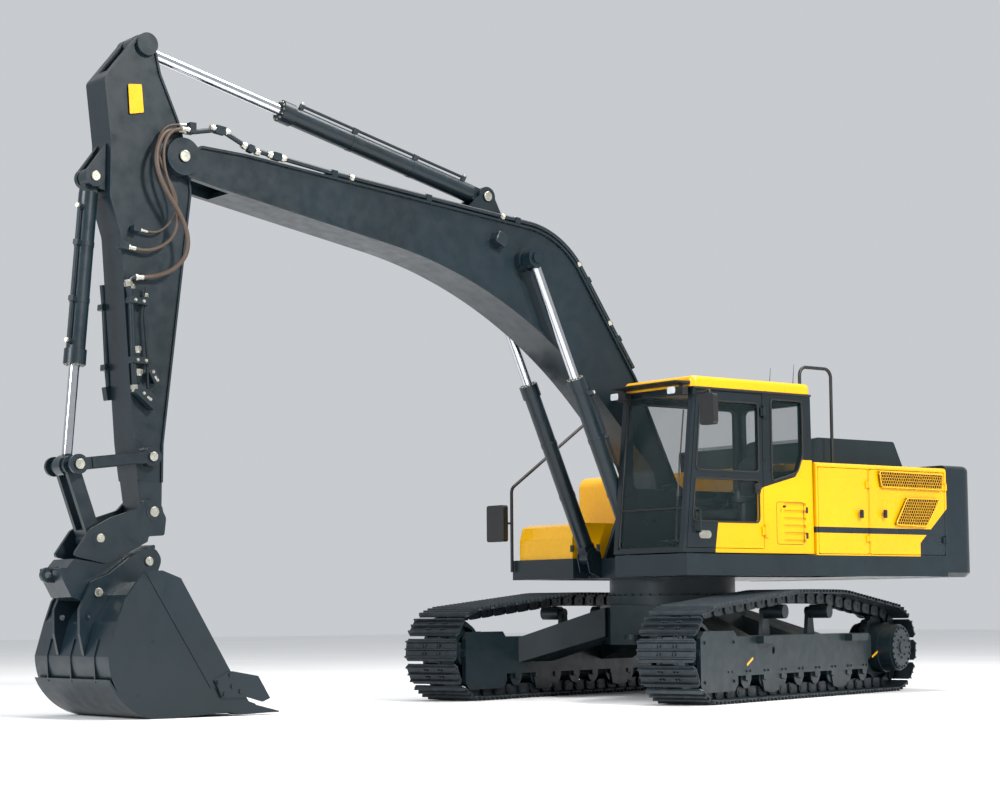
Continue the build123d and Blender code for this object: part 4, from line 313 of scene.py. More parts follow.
def plastic(name, code, rough, grain=0.0015, strength=0.12):
    """Plastic, rubber or cloth in one colour, a fifth darker in places, with a fine grain."""
    material, tree, shader, place = new_material(name)
    darker = (*(c * 0.8 for c in linear(code)[:3]), 1)
    cloudy = add(tree, NOISE, blotches(place, CLOUD, 3), "Fac")
    grained = add(tree, NOISE, blotches(place, grain, 2), "Fac")
    tone = add(tree, RAMP, {"Fac": cloudy}, "Color", [(0.3, linear(code)), (0.8, darker)])
    bump = add(tree, "ShaderNodeBump", {"Strength": strength, "Distance": 0.0006, "Height": grained})
    tree.links.new(tone, shader.inputs["Base Color"])
    tree.links.new(bump, shader.inputs["Normal"])
    shader.inputs["Roughness"].default_value = rough
    return material


def glass(name, code, alpha):
    """A clear pane with a thin film of dirt in its gloss."""
    material, tree, shader, place = new_material(name)
    dirt = add(tree, NOISE, blotches(place, FILM, 4), "Fac")
    film = add(tree, RAMP, {"Fac": dirt}, "Color", [(0.4, grey(0.005)), (0.8, grey(0.02))])
    tree.links.new(film, shader.inputs["Roughness"])
    shader.inputs["Base Color"].default_value = linear(code)
    shader.inputs["Alpha"].default_value = alpha
    shader.inputs["IOR"].default_value = 1.5
    shader.inputs["Specular IOR Level"].default_value = 0.8
    material.surface_render_method = "BLENDED"
    return material


# Track links and shoes: hardened steel with a thin bluish primer, dark and half dull.
TRACK = metal("hardened_track_steel", "2A3339", "1C2328", 0.40, 0.45, 0.006, 0.25)
# Hard chrome, ground and polished: nearly a mirror.
CHROME = metal("ground_hard_chrome", "C9CCD0", "BFC3C8", 0.12, 1.0, 0.002, 0.03)
# Polycarbonate lens over a bright reflector, seen as one pale glossy surface.
LENS = metal("ribbed_lamp_lens", "D8DDE0", "C4CACE", 0.08, 0.3, 0.003, 0.02)
# Pin heads and unions: zinc plating, warm grey with a soft gloss.
ZINC = metal("zinc_plated_steel", "B9B8AE", "A2A196", 0.35, 0.9, 0.002, 0.08)
# Engine: cast iron under matt paint, with a sand-cast grain.
CAST = metal("painted_engine_iron", "3A3D3E", "2E3031", 0.6, 0.2, 0.006, 0.3)
# Trim: moulded black plastic with a leathery grain of about 1.5 mm.
PLASTIC = plastic("moulded_black_plastic", "17191A", 0.45)
# Seals: extruded rubber, duller than the trim.
RUBBER = plastic("extruded_black_rubber", "141414", 0.6)
# Hoses: rubber in a brown spiral guard, whose turns are drawn as a grain of 4 mm.
HOSE = plastic("brown_guarded_hose", "4A3B30", 0.55, 0.004, 0.5)
# Panes: laminated glass with a green tint, clear enough to show the cab inside.
GLASS = glass("tinted_laminated_glass", "24383A", 0.15)
# Seat: woven cloth, its threads drawn 2.5 mm wide so that they show.
CLOTH = plastic("woven_seat_cloth", "202224", 0.85, 0.0025, 0.5)
print("steel, rubber and glass ready")

# %% [markdown]
# ## Chrome rods with painted eyes
# A cylinder's rod is ground and chromed, but the eye welded to its end is painted with the rest.
# Rod and eye are one solid, so the finish asks how near a place is to the eye's pin.

# %% Chrome rods with painted eyes
# rod eyes: x and z of the pin, painted radius
ROD_EYES = ((2.090, 4.255, 0.101), (6.212, 5.777, 0.108), (6.852, 2.108, 0.098))


def near_eyes(tree, place):
    """1 within the painted eye at a rod's end."""
    x, y, z = add(tree, SPLIT, {"Vector": place}).node.outputs
    total = 0.0
    for eye_x, eye_z, radius in ROD_EYES:
        dx = add(tree, MATHS, {0: x, 1: eye_x}, operation="SUBTRACT")
        dz = add(tree, MATHS, {0: z, 1: eye_z}, operation="SUBTRACT")
        dx2 = add(tree, MATHS, {0: dx, 1: dx}, operation="MULTIPLY")
        dz2 = add(tree, MATHS, {0: dz, 1: dz}, operation="MULTIPLY")
        square = add(tree, MATHS, {0: dx2, 1: dz2}, operation="ADD")
        near = add(tree, MATHS, {0: square, 1: radius * radius}, operation="LESS_THAN")
        total = add(tree, MATHS, {0: total, 1: near}, operation="MAXIMUM")
    return total


ROD = metal("hard_chrome_rod_with_painted_eye", "C9CCD0", "BFC3C8", 0.12, 1.0, 0.002, 0.03)
rod_tree = ROD.node_tree
rod_shader = rod_tree.nodes["Principled BSDF"]
rod_place = add(rod_tree, "ShaderNodeTexCoord", {}, "Object")
eye = near_eyes(rod_tree, rod_place)
chrome_tone = rod_shader.inputs["Base Color"].links[0].from_socket
eye_paint = drift_of(rod_tree, rod_place, *DARK)
rod_colour = add(rod_tree, MIX, {0: eye, 6: chrome_tone, 7: eye_paint}, 2, data_type="RGBA")
rod_tree.links.new(rod_colour, rod_shader.inputs["Base Color"])
bare = add(rod_tree, MATHS, {0: 1.0, 1: eye}, operation="SUBTRACT")
rod_tree.links.new(bare, rod_shader.inputs["Metallic"])
print("rod finish ready for", len(ROD_EYES), "kinds of eye")

# %% [markdown]
# ## Dress the solids
# Every carried-over solid gets one of these finishes. The table reads from finish to solids. The
# two-tone panels need no cutting, because their paints know where each colour ends.

# %% Dress the solids
sides = ("left", "right")
finishes = (
    (SLATE, ("deck", "lift_brackets", "counterweight", "hood")),
    (GEAR, ("boom", "arm", "arm_pipes", "boom_pipes", "guide_links", "bucket_link", "quick_coupler", "bucket",
            "lift_cylinder_tube", "arm_cylinder_tube", "curl_cylinder_tube")),
    (LOWER, ("center_frame", "swing_bearing",
             *(f"{n}_{s}" for n in ("track_frame", "idler", "sprocket") for s in sides))),
    (TRACK, tuple(f"track_{s}" for s in sides)),
    (YELLOW, ("tanks", "tool_box", "tool_box_lid", "cab_roof")),
    (BANDED, ("house_body", "service_door_front", "service_door_rear", "service_door_right")),
    (CAB_PAINT, ("cab_frame", "cab_door")),
    (ROD, ("lift_cylinder_rod", "arm_cylinder_rod", "curl_cylinder_rod")),
    (GLASS, ("cab_glass", "cab_door_glass")),
    (PLASTIC, ("cab_lamps", "handrails")),
    (HOSE, ("hose_feed", "hose_return", "hose_pilot")),
    (CLOTH, ("seat",)),
    (CAST, ("engine",)),
)
for material, names in finishes:
    for name in names:
        data = NODES[name].data
        data.materials.clear()
        data.materials.append(material)
print("dressed", sum(len(names) for _, names in finishes), "of", len(NODES))

# %% [markdown]
# ## Prisms, rods and bolts
# Small pieces share a few builders. A prism is an outline drawn in a plane and given a depth, a rod
# is a round bar between two points, and a bolt is a hexagon on a washer. A matrix says where the
# plane lies and which way it faces.

# %% Prisms, rods and bolts


def standing(place, normal, along=None):
    """A matrix at place whose z axis is the normal and whose x axis lies along the given way."""
    z = Vector(normal).normalized()
    x = Vector(along) if along else (Vector((0, 0, 1)) if abs(z.z) < 0.9 else Vector((1, 0, 0)))
    x = (x - x.dot(z) * z).normalized()
    y = z.cross(x)
    turn = Matrix((x, y, z)).transposed().to_4x4()
    return Matrix.Translation(Vector(place)) @ turn


def outward(x, y, z):
    """A matrix on a left side face, with x forward."""
    return standing((x, y, z), (0, 1, 0), (1, 0, 0))


def upward_at(x, y, z):
    """A matrix that faces up, with x forward."""
    return standing((x, y, z), (0, 0, 1), (1, 0, 0))


def prism(bm, outline, depth, matrix):
    """Outline points (x, y) pushed along z by depth, in the matrix's frame."""
    ends = [[bm.verts.new(matrix @ Vector((x, y, z))) for x, y in outline] for z in (0, depth)]
    bm.faces.new(reversed(ends[0]))
    bm.faces.new(ends[1])
    for i in range(len(outline)):
        j = (i + 1) % len(outline)
        bm.faces.new((ends[0][i], ends[0][j], ends[1][j], ends[1][i]))


def rod(bm, start, end, radius, sides=16, taper=1.0):
    """A round bar between two points."""
    start, end = Vector(start), Vector(end)
    frame_at = standing((start + end) / 2, end - start)
    bmesh.ops.create_cone(bm, cap_ends=True, segments=sides, radius1=radius, radius2=radius * taper,
                          depth=(end - start).length, matrix=frame_at)


def bolt(bm, place, normal, across=0.03, high=0.014):
    """A hexagon head on a washer."""
    place, normal = Vector(place), Vector(normal).normalized()
    rod(bm, place, place + normal * high * 0.25, across * 0.72, 14)
    rod(bm, place + normal * high * 0.25, place + normal * high, across * 0.55, 6)


print("solid builders ready")

# %% [markdown]
# ## Outlines with round corners
# Pressed and moulded parts have no sharp corners, and light runs round a soft one. Corners of a
# rectangle are arcs. Corners of any other outline are cut back and bridged by a short curve.

# %% Outlines with round corners


def rounded(width, height, radius, steps=4):
    """Outline of a rectangle with round corners, round its middle."""
    points = []
    for cx, cy, start in ((1, 1, 0), (-1, 1, 90), (-1, -1, 180), (1, -1, 270)):
        for step in range(steps + 1):
            a = radians(start + 90 * step / steps)
            x, y = cx * (width / 2 - radius), cy * (height / 2 - radius)
            points.append((x + radius * cos(a), y + radius * sin(a)))
    return points


def softened(points, radius, steps=4):
    """A closed outline with its corners rounded."""
    out = []
    spots = [Vector(p) for p in points]
    for i, corner in enumerate(spots):
        before, after = spots[i - 1], spots[(i + 1) % len(spots)]
        a = corner + (before - corner).normalized() * radius
        b = corner + (after - corner).normalized() * radius
        for step in range(steps + 1):
            t = step / steps
            out.append((1 - t) ** 2 * a + 2 * t * (1 - t) * corner + t * t * b)
    return out


def on_side(points, y):
    """Points (x, z) stood up in a side plane."""
    return [(x, y, z) for x, z in points]


print("outlines ready")

# %% [markdown]
# ## Pieces and pipes
# Every piece gets a mesh or a curve, one finish, and a body of the machine that it moves with.
# Pipes, seals and hoses are curves with a round section, because a curve bends more smoothly than
# a mesh of rods and stays easy to change.

# %% Pieces and pipes


def show(name, body, bm, material, bevel=0.0, smooth=False):
    """Makes a piece of a bmesh, with a finish and a body to ride on."""
    bmesh.ops.recalc_face_normals(bm, faces=bm.faces)
    data = bpy.data.meshes.new(name)
    bm.to_mesh(data)
    bm.free()
    data.materials.append(material)
    if smooth:
        data.shade_smooth()
    piece = bpy.data.objects.new(name, data)
    SCENE.collection.objects.link(piece)
    if bevel:
        # a narrow bevel gives each edge the thin highlight that a real one has
        edge = piece.modifiers.new("edge", "BEVEL")
        edge.width = bevel
        edge.segments = 2
        edge.limit_method = "ANGLE"
    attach(piece, body)
    return piece


def pipe(name, body, runs, radius, material, closed=False, soft=False):
    """Round bars along lists of points, as one curve; soft runs are smooth. Each point carries the
    bar's radius, so that the curve's box ends close to it."""
    data = bpy.data.curves.new(name, "CURVE")
    data.dimensions = "3D"
    data.bevel_depth = 1.0
    data.bevel_resolution = 3
    data.use_fill_caps = True
    for points in runs:
        spline = data.splines.new("NURBS" if soft else "POLY")
        spline.points.add(len(points) - 1)
        for spot, point in zip(spline.points, points):
            spot.co = (*point, 1)
            spot.radius = radius
        if soft:
            spline.order_u = 3
            spline.use_endpoint_u = True
        spline.use_cyclic_u = closed
    data.materials.append(material)
    piece = bpy.data.objects.new(name, data)
    SCENE.collection.objects.link(piece)
    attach(piece, body)
    return piece


print("builders ready")

# %% [markdown]
# ## Pin heads
# Every pivot of the working gear shows the pale zinc-plated end of its pin. A head is a turned
# disc with a chamfer and a small centre drilling, and it sits on the pin that the frame models.

# %% Pin heads
# pins: body, x, z, half width over the pin or None for its carrier's, radius
pins = (
    ("boom", 5.883, 4.817, 0.275, 0.050), ("boom", 2.450, 4.860, 0.135, 0.046),
    ("arm", 6.659, 4.579, 0.118, 0.042), ("arm", 6.159, 2.194, None, 0.040),
    ("bucket", 6.118, 1.727, None, 0.043), ("bucket", 6.627, 1.495, None, 0.038),
    ("bucket", 6.199, 1.304, None, 0.038), ("bucket", 6.672, 1.042, None, 0.038),
    ("guide_links", 6.852, 2.108, None, 0.043),
)
half_of = {
    "arm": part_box("arm")[1][1], "guide_links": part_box("guide_links")[1][1], "coupler": 0.200, "ear": 0.260,
}
PIN_SIDES = 32


def pin_head(bm, x, z, y, radius):
    """Chamfered disc with a centre drilling, facing outward from the middle plane."""
    out = 1 if y > 0 else -1
    # rings from the rim to the drilling: share of the radius, height
    rings = ((1.0, 0.0), (1.0, 0.003), (0.88, 0.006), (0.2, 0.006), (0.12, 0.002))
    turns = [2 * pi * i / PIN_SIDES for i in range(PIN_SIDES)]
    loops = []
    for share, high in rings:
        r = share * radius
        loops.append([bm.verts.new((x + r * cos(a), y + out * high, z + r * sin(a))) for a in turns])
    for a, b in zip(loops, loops[1:]):
        for i in range(PIN_SIDES):
            j = (i + 1) % PIN_SIDES
            bm.faces.new((a[i], a[j], b[j], b[i]))
    bm.faces.new(loops[-1])


heads = {}
for body, x, z, half, radius in pins:
    if half is None:
        half = half_of[body] if body != "bucket" else half_of["coupler" if z > 1.4 else "ear"]
    bm = heads.setdefault(body, bmesh.new())
    for out in (-1, 1):
        pin_head(bm, x, z, out * half, radius)
for body, bm in heads.items():
    show(f"pin_heads_{body}", body, bm, ZINC)
print("pin heads on", list(heads))

# %% [markdown]
# ## Hoses from the boom to the arm
# Three rubber hoses hang in loops from the block at the boom's tip to the arm's pipes. Each keeps
# the route of its solid: the points below are the control points of a smooth curve.

# %% Hoses from the boom to the arm
# hoses: node, diameter, control points in metres
hose_routes = (
    ("hose_feed", 0.040, (
        (5.8503, 0.222, 5.050), (5.970, 0.222, 5.050), (6.085, 0.262, 5.000), (6.164, 0.295, 4.883),
        (6.202, 0.330, 4.753), (6.181, 0.345, 4.605), (6.108, 0.350, 4.468), (6.016, 0.350, 4.350),
        (5.936, 0.350, 4.223), (5.893, 0.350, 4.089), (5.898, 0.345, 3.955), (5.965, 0.325, 3.845),
        (6.075, 0.275, 3.765), (6.215, 0.212, 3.7304), (6.3297, 0.212, 3.722))),
    ("hose_return", 0.032, (
        (5.8503, 0.285, 5.050), (5.960, 0.285, 5.050), (6.054, 0.291, 4.995), (6.112, 0.303, 4.878),
        (6.122, 0.314, 4.740), (6.093, 0.320, 4.602), (6.038, 0.320, 4.474), (5.986, 0.315, 4.344),
        (5.967, 0.305, 4.210), (6.007, 0.290, 4.086), (6.100, 0.268, 4.003), (6.205, 0.236, 3.962),
        (6.306, 0.212, 3.963), (6.4044, 0.212, 3.9801))),
    ("hose_pilot", 0.020, (
        (5.8503, 0.240, 5.096), (5.945, 0.240, 5.096), (6.060, 0.236, 5.062), (6.125, 0.228, 4.950),
        (6.120, 0.230, 4.810), (6.076, 0.245, 4.670), (6.011, 0.262, 4.555), (5.964, 0.272, 4.439),
        (5.960, 0.268, 4.319), (6.014, 0.250, 4.218), (6.100, 0.228, 4.136), (6.1956, 0.212, 4.1224),
        (6.2892, 0.212, 4.1389))),
)


def route_length(curve_object):
    """Length of a curve without its round section."""
    depth = curve_object.data.bevel_depth
    curve_object.data.bevel_depth = 0
    bpy.context.view_layer.update()
    line = bpy.data.meshes.new_from_object(curve_object.evaluated_get(bpy.context.evaluated_depsgraph_get()))
    curve_object.data.bevel_depth = depth
    spots = [v.co for v in line.vertices]
    return sum((b - a).length for a, b in zip(spots, spots[1:]))


for node, wide, points in hose_routes:
    hose = pipe(f"{node}_rubber", "boom", [points], wide / 2, HOSE, soft=True)
    hose.data.splines[0].resolution_u = 10
    length = route_length(hose)
    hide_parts(node)
    print(node, "length", round(length, 2))

# crimped steel sleeves at both ends of each hose, each with a hexagon nut at its foot
SLEEVE_LONG, NUT_LONG = 0.075, 0.022
for body, last in (("boom", 0), ("arm", -1)):
    sleeves = bmesh.new()
    for node, wide, points in hose_routes:
        end, near = Vector(points[last]), Vector(points[1 if last == 0 else -2])
        way = (near - end).normalized()
        rod(sleeves, end, end + way * SLEEVE_LONG, wide * 0.60, 20)
        rod(sleeves, end, end + way * NUT_LONG, wide * 0.74, 6)
    show(f"hose_sleeves_{body}", body, sleeves, ZINC)
print("sleeves on", 2 * len(hose_routes), "hose ends")

# %% [markdown]
# ## Window seals of the cab
# Each pane is held by a black rubber seal, drawn as a round bar just proud of the steel. Its
# corners are rounded, because a seal of one extruded length can't turn sharply.

# %% Window seals of the cab
# the cab's left and right faces, its floor and the top of its walls
CAB_L, CAB_R = 1.462, 0.462
FLOOR_Z, ROOF_Z = 1.405, 2.985
# the cab's front at the floor, and how far it leans back up to the roof
FRONT_X, LEAN = 1.19, 0.16
# how far a seal's middle stands out of the wall
SEAL_OUT = 0.002


def cab_front(z):
    """The front face's place along the machine at a height."""
    return FRONT_X - LEAN * (z - FLOOR_Z) / (ROOF_Z - FLOOR_Z)


door_rear, door_inset = 0.178, 0.100
waist = FLOOR_Z + 0.468 * (ROOF_Z - FLOOR_Z)
door_windows = [
    on_side(((door_rear, low), (cab_front(low) - door_inset, low),
             (cab_front(high) - door_inset, high), (door_rear, high)), CAB_L + SEAL_OUT)
    for low, high in ((waist + 0.045, ROOF_Z - 0.125), (FLOOR_Z + 0.295, waist - 0.035))
]
pipe("door_window_seals", "cab_door", [softened(w, 0.05) for w in door_windows], 0.009, RUBBER, closed=True)
quarter = (
    (0, ROOF_Z - 0.075), (-0.43, ROOF_Z - 0.075), (-0.43, waist + 0.235),
    (-0.35, waist + 0.055), (0, waist - 0.035),
)
screen_low, screen_high = FLOOR_Z + 0.045, ROOF_Z - 0.06


def on_screen(y, z, out=0.004):
    """A point on the windscreen's outer face, by its side place and height."""
    return (cab_front(z) - 0.022 + out, y, z)


screen_right, screen_left = 0.522, 1.402
screen = [
    on_screen(screen_right, screen_low), on_screen(screen_left, screen_low),
    on_screen(screen_left, screen_high), on_screen(screen_right, screen_high),
]
right_low, right_high, right_rear, right_front = waist - 0.095, ROOF_Z - 0.095, -0.45, 0.97
right_pane = (
    (right_rear, right_low), (right_front, right_low), (right_front, right_high), (right_rear, right_high),
)
house_seals = [
    softened(on_side(quarter, CAB_L + SEAL_OUT), 0.04),
    softened(screen, 0.05),
    softened(on_side(right_pane, CAB_R + SEAL_OUT), 0.06),
]
pipe("cab_window_seals", "house", house_seals, 0.010, RUBBER, closed=True)
print("seals round", len(door_windows) + len(house_seals), "panes")

# %% [markdown]
# ## Windscreen split and wiper
# The windscreen is in two panes that meet about two thirds down, and its wiper is parked along the
# left pillar: a motor boss, an arm that thins towards its end, and the blade.

# %% Windscreen split and wiper
split_z = FLOOR_Z + 0.42
WIPER_Y, BOSS_Z = 1.36, split_z + 0.10
trim = bmesh.new()
rod(trim, on_screen(0.525, split_z), on_screen(1.399, split_z), 0.011, 8)
show("windscreen_split", "house", trim, RUBBER)

wiper = bmesh.new()
rod(wiper, on_screen(WIPER_Y, BOSS_Z, 0.012), on_screen(WIPER_Y, BOSS_Z, 0.045), 0.018, 16)
rod(wiper, on_screen(WIPER_Y, BOSS_Z, 0.036), on_screen(1.335, split_z + 0.52, 0.030), 0.008, 8, 0.7)
rod(wiper, on_screen(1.33, split_z + 0.30, 0.016), on_screen(1.34, split_z + 0.94, 0.016), 0.007, 8)
show("wiper", "house", wiper, PLASTIC)
print("windscreen split at", round(split_z, 3))

# %% [markdown]
# ## Door handle, grip plate, gutter and antennas
# The door opens by a black paddle near its rear edge and has a bright plate low in front. A rubber
# gutter runs along the roof's edge over the door, and two thin antennas stand at the rear.

# %% Door handle, grip plate, gutter and antennas
handle, handle_z = bmesh.new(), waist - 0.115
prism(handle, rounded(0.075, 0.11, 0.03), 0.012, outward(0.20, CAB_L, handle_z))
rod(handle, (0.185, CAB_L + 0.012, handle_z), (0.185, CAB_L + 0.030, handle_z), 0.012, 12)
prism(handle, rounded(0.085, 0.022, 0.008), 0.010, outward(0.215, CAB_L + 0.026, handle_z))
show("door_handle", "cab_door", handle, PLASTIC, 0.002)

grip, grip_at = bmesh.new(), outward(0.905, CAB_L, FLOOR_Z + 0.17)
prism(grip, rounded(0.16, 0.075, 0.036), 0.006, grip_at)
prism(grip, rounded(0.12, 0.040, 0.019), 0.010, grip_at)
show("door_kick_plate", "cab_door", grip, ZINC, 0.002)

gutter_y, gutter_z = CAB_L + 0.006, ROOF_Z - 0.012
gutter = [(cab_front(ROOF_Z) + 0.004, gutter_y, gutter_z), (-0.55, gutter_y, gutter_z)]
pipe("cab_rain_gutter", "house", [gutter], 0.011, RUBBER)

antennas = bmesh.new()
FOOT_LOW, FOOT_TOP, ROD_TOP = 3.08, 3.11, 3.30
for x, y in ((-0.48, 1.30), (-0.50, 0.95)):
    rod(antennas, (x, y, FOOT_LOW), (x, y, FOOT_TOP), 0.018, 16)
    rod(antennas, (x, y, FOOT_TOP), (x - 0.02, y, ROD_TOP), 0.004, 8, 0.5)
show("antennas", "house", antennas, PLASTIC)
print("cab trimmed")

# %% [markdown]
# ## Cushions of the seat
# The driver's seat is upholstered in woven cloth over foam. Seat, back and headrest are cushions
# with rounded rims: a cube cut into a fine grid, whose faces swell most in their middles.

# %% Cushions of the seat


def cushion(name, middle, size, lean, puff=0.22):
    """A cushion leaned by an angle, with swelling faces and full rims."""
    bm = bmesh.new()
    bmesh.ops.create_cube(bm, size=1)
    bmesh.ops.subdivide_edges(bm, edges=bm.edges, cuts=9, use_grid_fill=True)
    for v in bm.verts:
        u = [2 * c for c in v.co]
        for axis in range(3):
            others = [u[i] for i in range(3) if i != axis]
            swell = (1 - others[0] ** 4) * (1 - others[1] ** 4)
            v.co[axis] = u[axis] / 2 * (1 - puff + puff * swell)
        v.co = Vector([c * s for c, s in zip(v.co, size)])
    leaned = Matrix.Translation(Vector(middle)) @ Matrix.Rotation(radians(lean), 4, "Y")
    bmesh.ops.transform(bm, matrix=leaned, verts=bm.verts)
    piece = show(name, "house", bm, CLOTH, smooth=True)
    piece.modifiers.new("soft", "SUBSURF").render_levels = 1
    return piece


# the seat stands in the cab's middle, on the floor plate
SEAT_Y, SEAT_Z = (CAB_L + CAB_R) / 2, FLOOR_Z + 0.045
base = cushion("seat_cushion", (0.10, SEAT_Y, SEAT_Z + 0.325), (0.50, 0.50, 0.13), -4)
cushion("seat_back", (-0.235, SEAT_Y, SEAT_Z + 0.64), (0.13, 0.48, 0.62), -10)
cushion("seat_headrest", (-0.30, SEAT_Y, SEAT_Z + 1.00), (0.10, 0.28, 0.18), -10)
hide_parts("seat")
print("three cushions")

# %% [markdown]
# ## Arm pods, levers and the seat's base
# A moulded pod on each side carries a joystick with a rubber boot. Two travel levers with pedals
# stand in front, and the seat rests on a folded bellows.

# %% Arm pods, levers and the seat's base
# distances of pods and travel levers from the seat's middle
POD_Y, LEVER_Y = 0.33, 0.07
pods = bmesh.new()
for side in (-1, 1):
    y = SEAT_Y + side * POD_Y
    prism(pods, rounded(0.52, 0.11, 0.04), 0.06, upward_at(0.09, y, SEAT_Z + 0.45))
    prism(pods, rounded(0.40, 0.085, 0.03), 0.27, upward_at(0.07, y, SEAT_Z + 0.18))
    rod(pods, (0.30, y, SEAT_Z + 0.50), (0.30, y, SEAT_Z + 0.56), 0.034, 20, 0.6)
    rod(pods, (0.30, y, SEAT_Z + 0.54), (0.305, y, SEAT_Z + 0.63), 0.014, 14)
    prism(pods, rounded(0.05, 0.042, 0.018), 0.085, upward_at(0.305, y, SEAT_Z + 0.605))
for side in (-1, 1):
    y = SEAT_Y + side * LEVER_Y
    rod(pods, (0.76, y, SEAT_Z + 0.02), (0.72, y, SEAT_Z + 0.55), 0.011, 12)
    rod(pods, (0.72, y, SEAT_Z + 0.52), (0.718, y, SEAT_Z + 0.58), 0.022, 16)
    pedal = standing((0.83, y, SEAT_Z + 0.045), (-0.3, 0, 1), (1, 0, 0.3))
    prism(pods, rounded(0.20, 0.10, 0.02), 0.018, pedal)
prism(pods, rounded(0.40, 0.40, 0.03), 0.03, upward_at(0.06, SEAT_Y, SEAT_Z + 0.003))
FOLD, FOLDS = 0.045, 5
for fold in range(FOLDS):
    width = 0.34 + 0.03 * (fold % 2)
    prism(pods, rounded(width, width, 0.05), FOLD, upward_at(0.06, SEAT_Y, SEAT_Z + 0.033 + FOLD * fold))
controls = show("arm_pods_and_levers", "house", pods, PLASTIC, 0.003)
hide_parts("seat")
print("seat in place")

# %% [markdown]
# ## Mesh grilles of the rear door
# Two openings in the rear service door are covered by hexagonal mesh, painted yellow like the
# door. Behind the mesh a black sheet is painted shade: it stands in for the dark space behind the
# openings. Real mesh could be a picture with holes, but at this size it pays to model each wire: a
# hexagon shares its sides with its neighbours, so three sides of each are enough.

# %% Mesh grilles of the rear door
# distance between hexagons, half width and depth of a wire
MESH_PITCH, WIRE, WIRE_DEEP = 0.034, 0.0028, 0.004
# how far the mesh, the black sheet of painted shade and the rim lie inside the door's face
MESH_IN, SHADE_SHEET_IN, RIM_IN = 0.004, 0.0125, 0.001
BODY_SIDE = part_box("service_door_rear")[1][1]


def inside(point, outline):
    """True where a flat point lies inside an outline."""
    x, z = point
    hits = False
    for (ax, az), (bx, bz) in zip(outline, outline[1:] + outline[:1]):
        if (az > z) != (bz > z) and x < (bx - ax) * (z - az) / (bz - az) + ax:
            hits = not hits
    return hits


def grille(bm, outline, y):
    """Flat strips along the hexagons' edges whose two ends fall inside the outline."""
    reach = MESH_PITCH / 3 ** 0.5
    low_x, low_z = (min(p[i] for p in outline) for i in (0, 1))
    high_x, high_z = (max(p[i] for p in outline) for i in (0, 1))
    rows = int((high_z - low_z) / (1.5 * reach)) + 2
    columns = int((high_x - low_x) / MESH_PITCH) + 2
    for row in range(rows):
        for column in range(columns):
            cx = low_x + (column + 0.5 * (row % 2)) * MESH_PITCH
            cz = low_z + row * 1.5 * reach
            for step in range(3):
                a, b = (
                    Vector((cx + reach * sin(pi / 3 * k), y, cz + reach * cos(pi / 3 * k)))
                    for k in (step, step + 1)
                )
                if inside((a.x, a.z), outline) and inside((b.x, b.z), outline):
                    way = (b - a).normalized() * WIRE
                    side = Vector((way.z, 0, -way.x))
                    corners = (a - way + side, a - way - side, b + way - side, b + way + side)
                    front = [bm.verts.new(c) for c in corners]
                    back = [bm.verts.new(c - Vector((0, WIRE_DEEP, 0))) for c in corners]
                    bm.faces.new(front)
                    for i in range(4):
                        bm.faces.new((front[i], back[i], back[(i + 1) % 4], front[(i + 1) % 4]))


mesh_windows = (
    [(-1.470, 2.250), (-2.440, 2.240), (-2.420, 2.085), (-1.500, 2.092)],
    [(-1.880, 1.985), (-2.380, 1.985), (-2.170, 1.700), (-1.700, 1.715)],
)
wires, shade_sheet, lips = bmesh.new(), bmesh.new(), []
for outline in mesh_windows:
    grille(wires, outline, BODY_SIDE - MESH_IN)
    # a black sheet of painted shade behind each opening stands in for the dark space behind the mesh
    face = [shade_sheet.verts.new((x, BODY_SIDE - SHADE_SHEET_IN, z)) for x, z in outline]
    shade_sheet.faces.new(face)
    lips.append(on_side(outline, BODY_SIDE - RIM_IN))
show("rear_door_mesh", "service_door_rear", wires, YELLOW)
show("rear_door_mesh_painted_shade_sheet", "service_door_rear", shade_sheet, PLASTIC)
rims = [softened([Vector(p) for p in lip], 0.035) for lip in lips]
pipe("rear_door_mesh_rims", "service_door_rear", rims, 0.006, YELLOW, closed=True)

# %% [markdown]
# ## The loop that a track follows
# A track is a chain pulled tight round idler, sprocket and two carrier rollers. A string round four
# wheels is their convex hull, so the loop is found from points of the wheels' rims.

# %% The loop that a track follows
# pin line round sprocket and idler, number of shoes, distance between the tracks, distance
# between the axles and their height
PITCH_RADIUS, SHOES, GAUGE, WHEELBASE, AXLE_Z = 0.366, 48, 2.600, 4.030, 0.455
# idler, sprocket and the two carrier rollers: x, z, radius of the pin line round them
wheels = (
    (WHEELBASE / 2, AXLE_Z, PITCH_RADIUS), (-WHEELBASE / 2, AXLE_Z, PITCH_RADIUS),
    (0.250, 0.841, 0.128), (-0.740, 0.841, 0.128),
)
SWUNG = Matrix.Rotation(SWING, 4, "Z")


def tight_loop(circles, steps=360):
    """Convex hull of circles, as points in order."""
    turns = [2 * pi * i / steps for i in range(steps)]
    rims = ((x + r * cos(a), z + r * sin(a)) for x, z, r in circles for a in turns)
    dots = sorted({(round(x, 6), round(z, 6)) for x, z in rims})
    halves = []
    for run in (dots, dots[::-1]):
        half = []
        for x, z in run:
            while len(half) > 1:
                (far_x, far_z), (near_x, near_z) = half[-2:]
                if (near_x - far_x) * (z - far_z) - (near_z - far_z) * (x - far_x) > 0:
                    break
                half.pop()
            half.append((x, z))
        halves += half[:-1]
    return halves


loop = tight_loop(wheels)
spans = [hypot(b[0] - a[0], b[1] - a[1]) for a, b in zip(loop, loop[1:] + loop[:1])]
PITCH = sum(spans) / SHOES
# the walk starts at the rear end of the ground run, as the frame's chain does
start_x, start_z = -WHEELBASE / 2, AXLE_Z - PITCH_RADIUS
first = min(range(len(loop)), key=lambda i: hypot(loop[i][0] - start_x, loop[i][1] - start_z))


def chain_at(along):
    """A link pin's place after walking along the loop."""
    along, i = along % sum(spans), first
    while along > spans[i]:
        along -= spans[i]
        i = (i + 1) % len(loop)
    a, b = Vector(loop[i]), Vector(loop[(i + 1) % len(loop)])
    return a + (b - a) * along / spans[i]


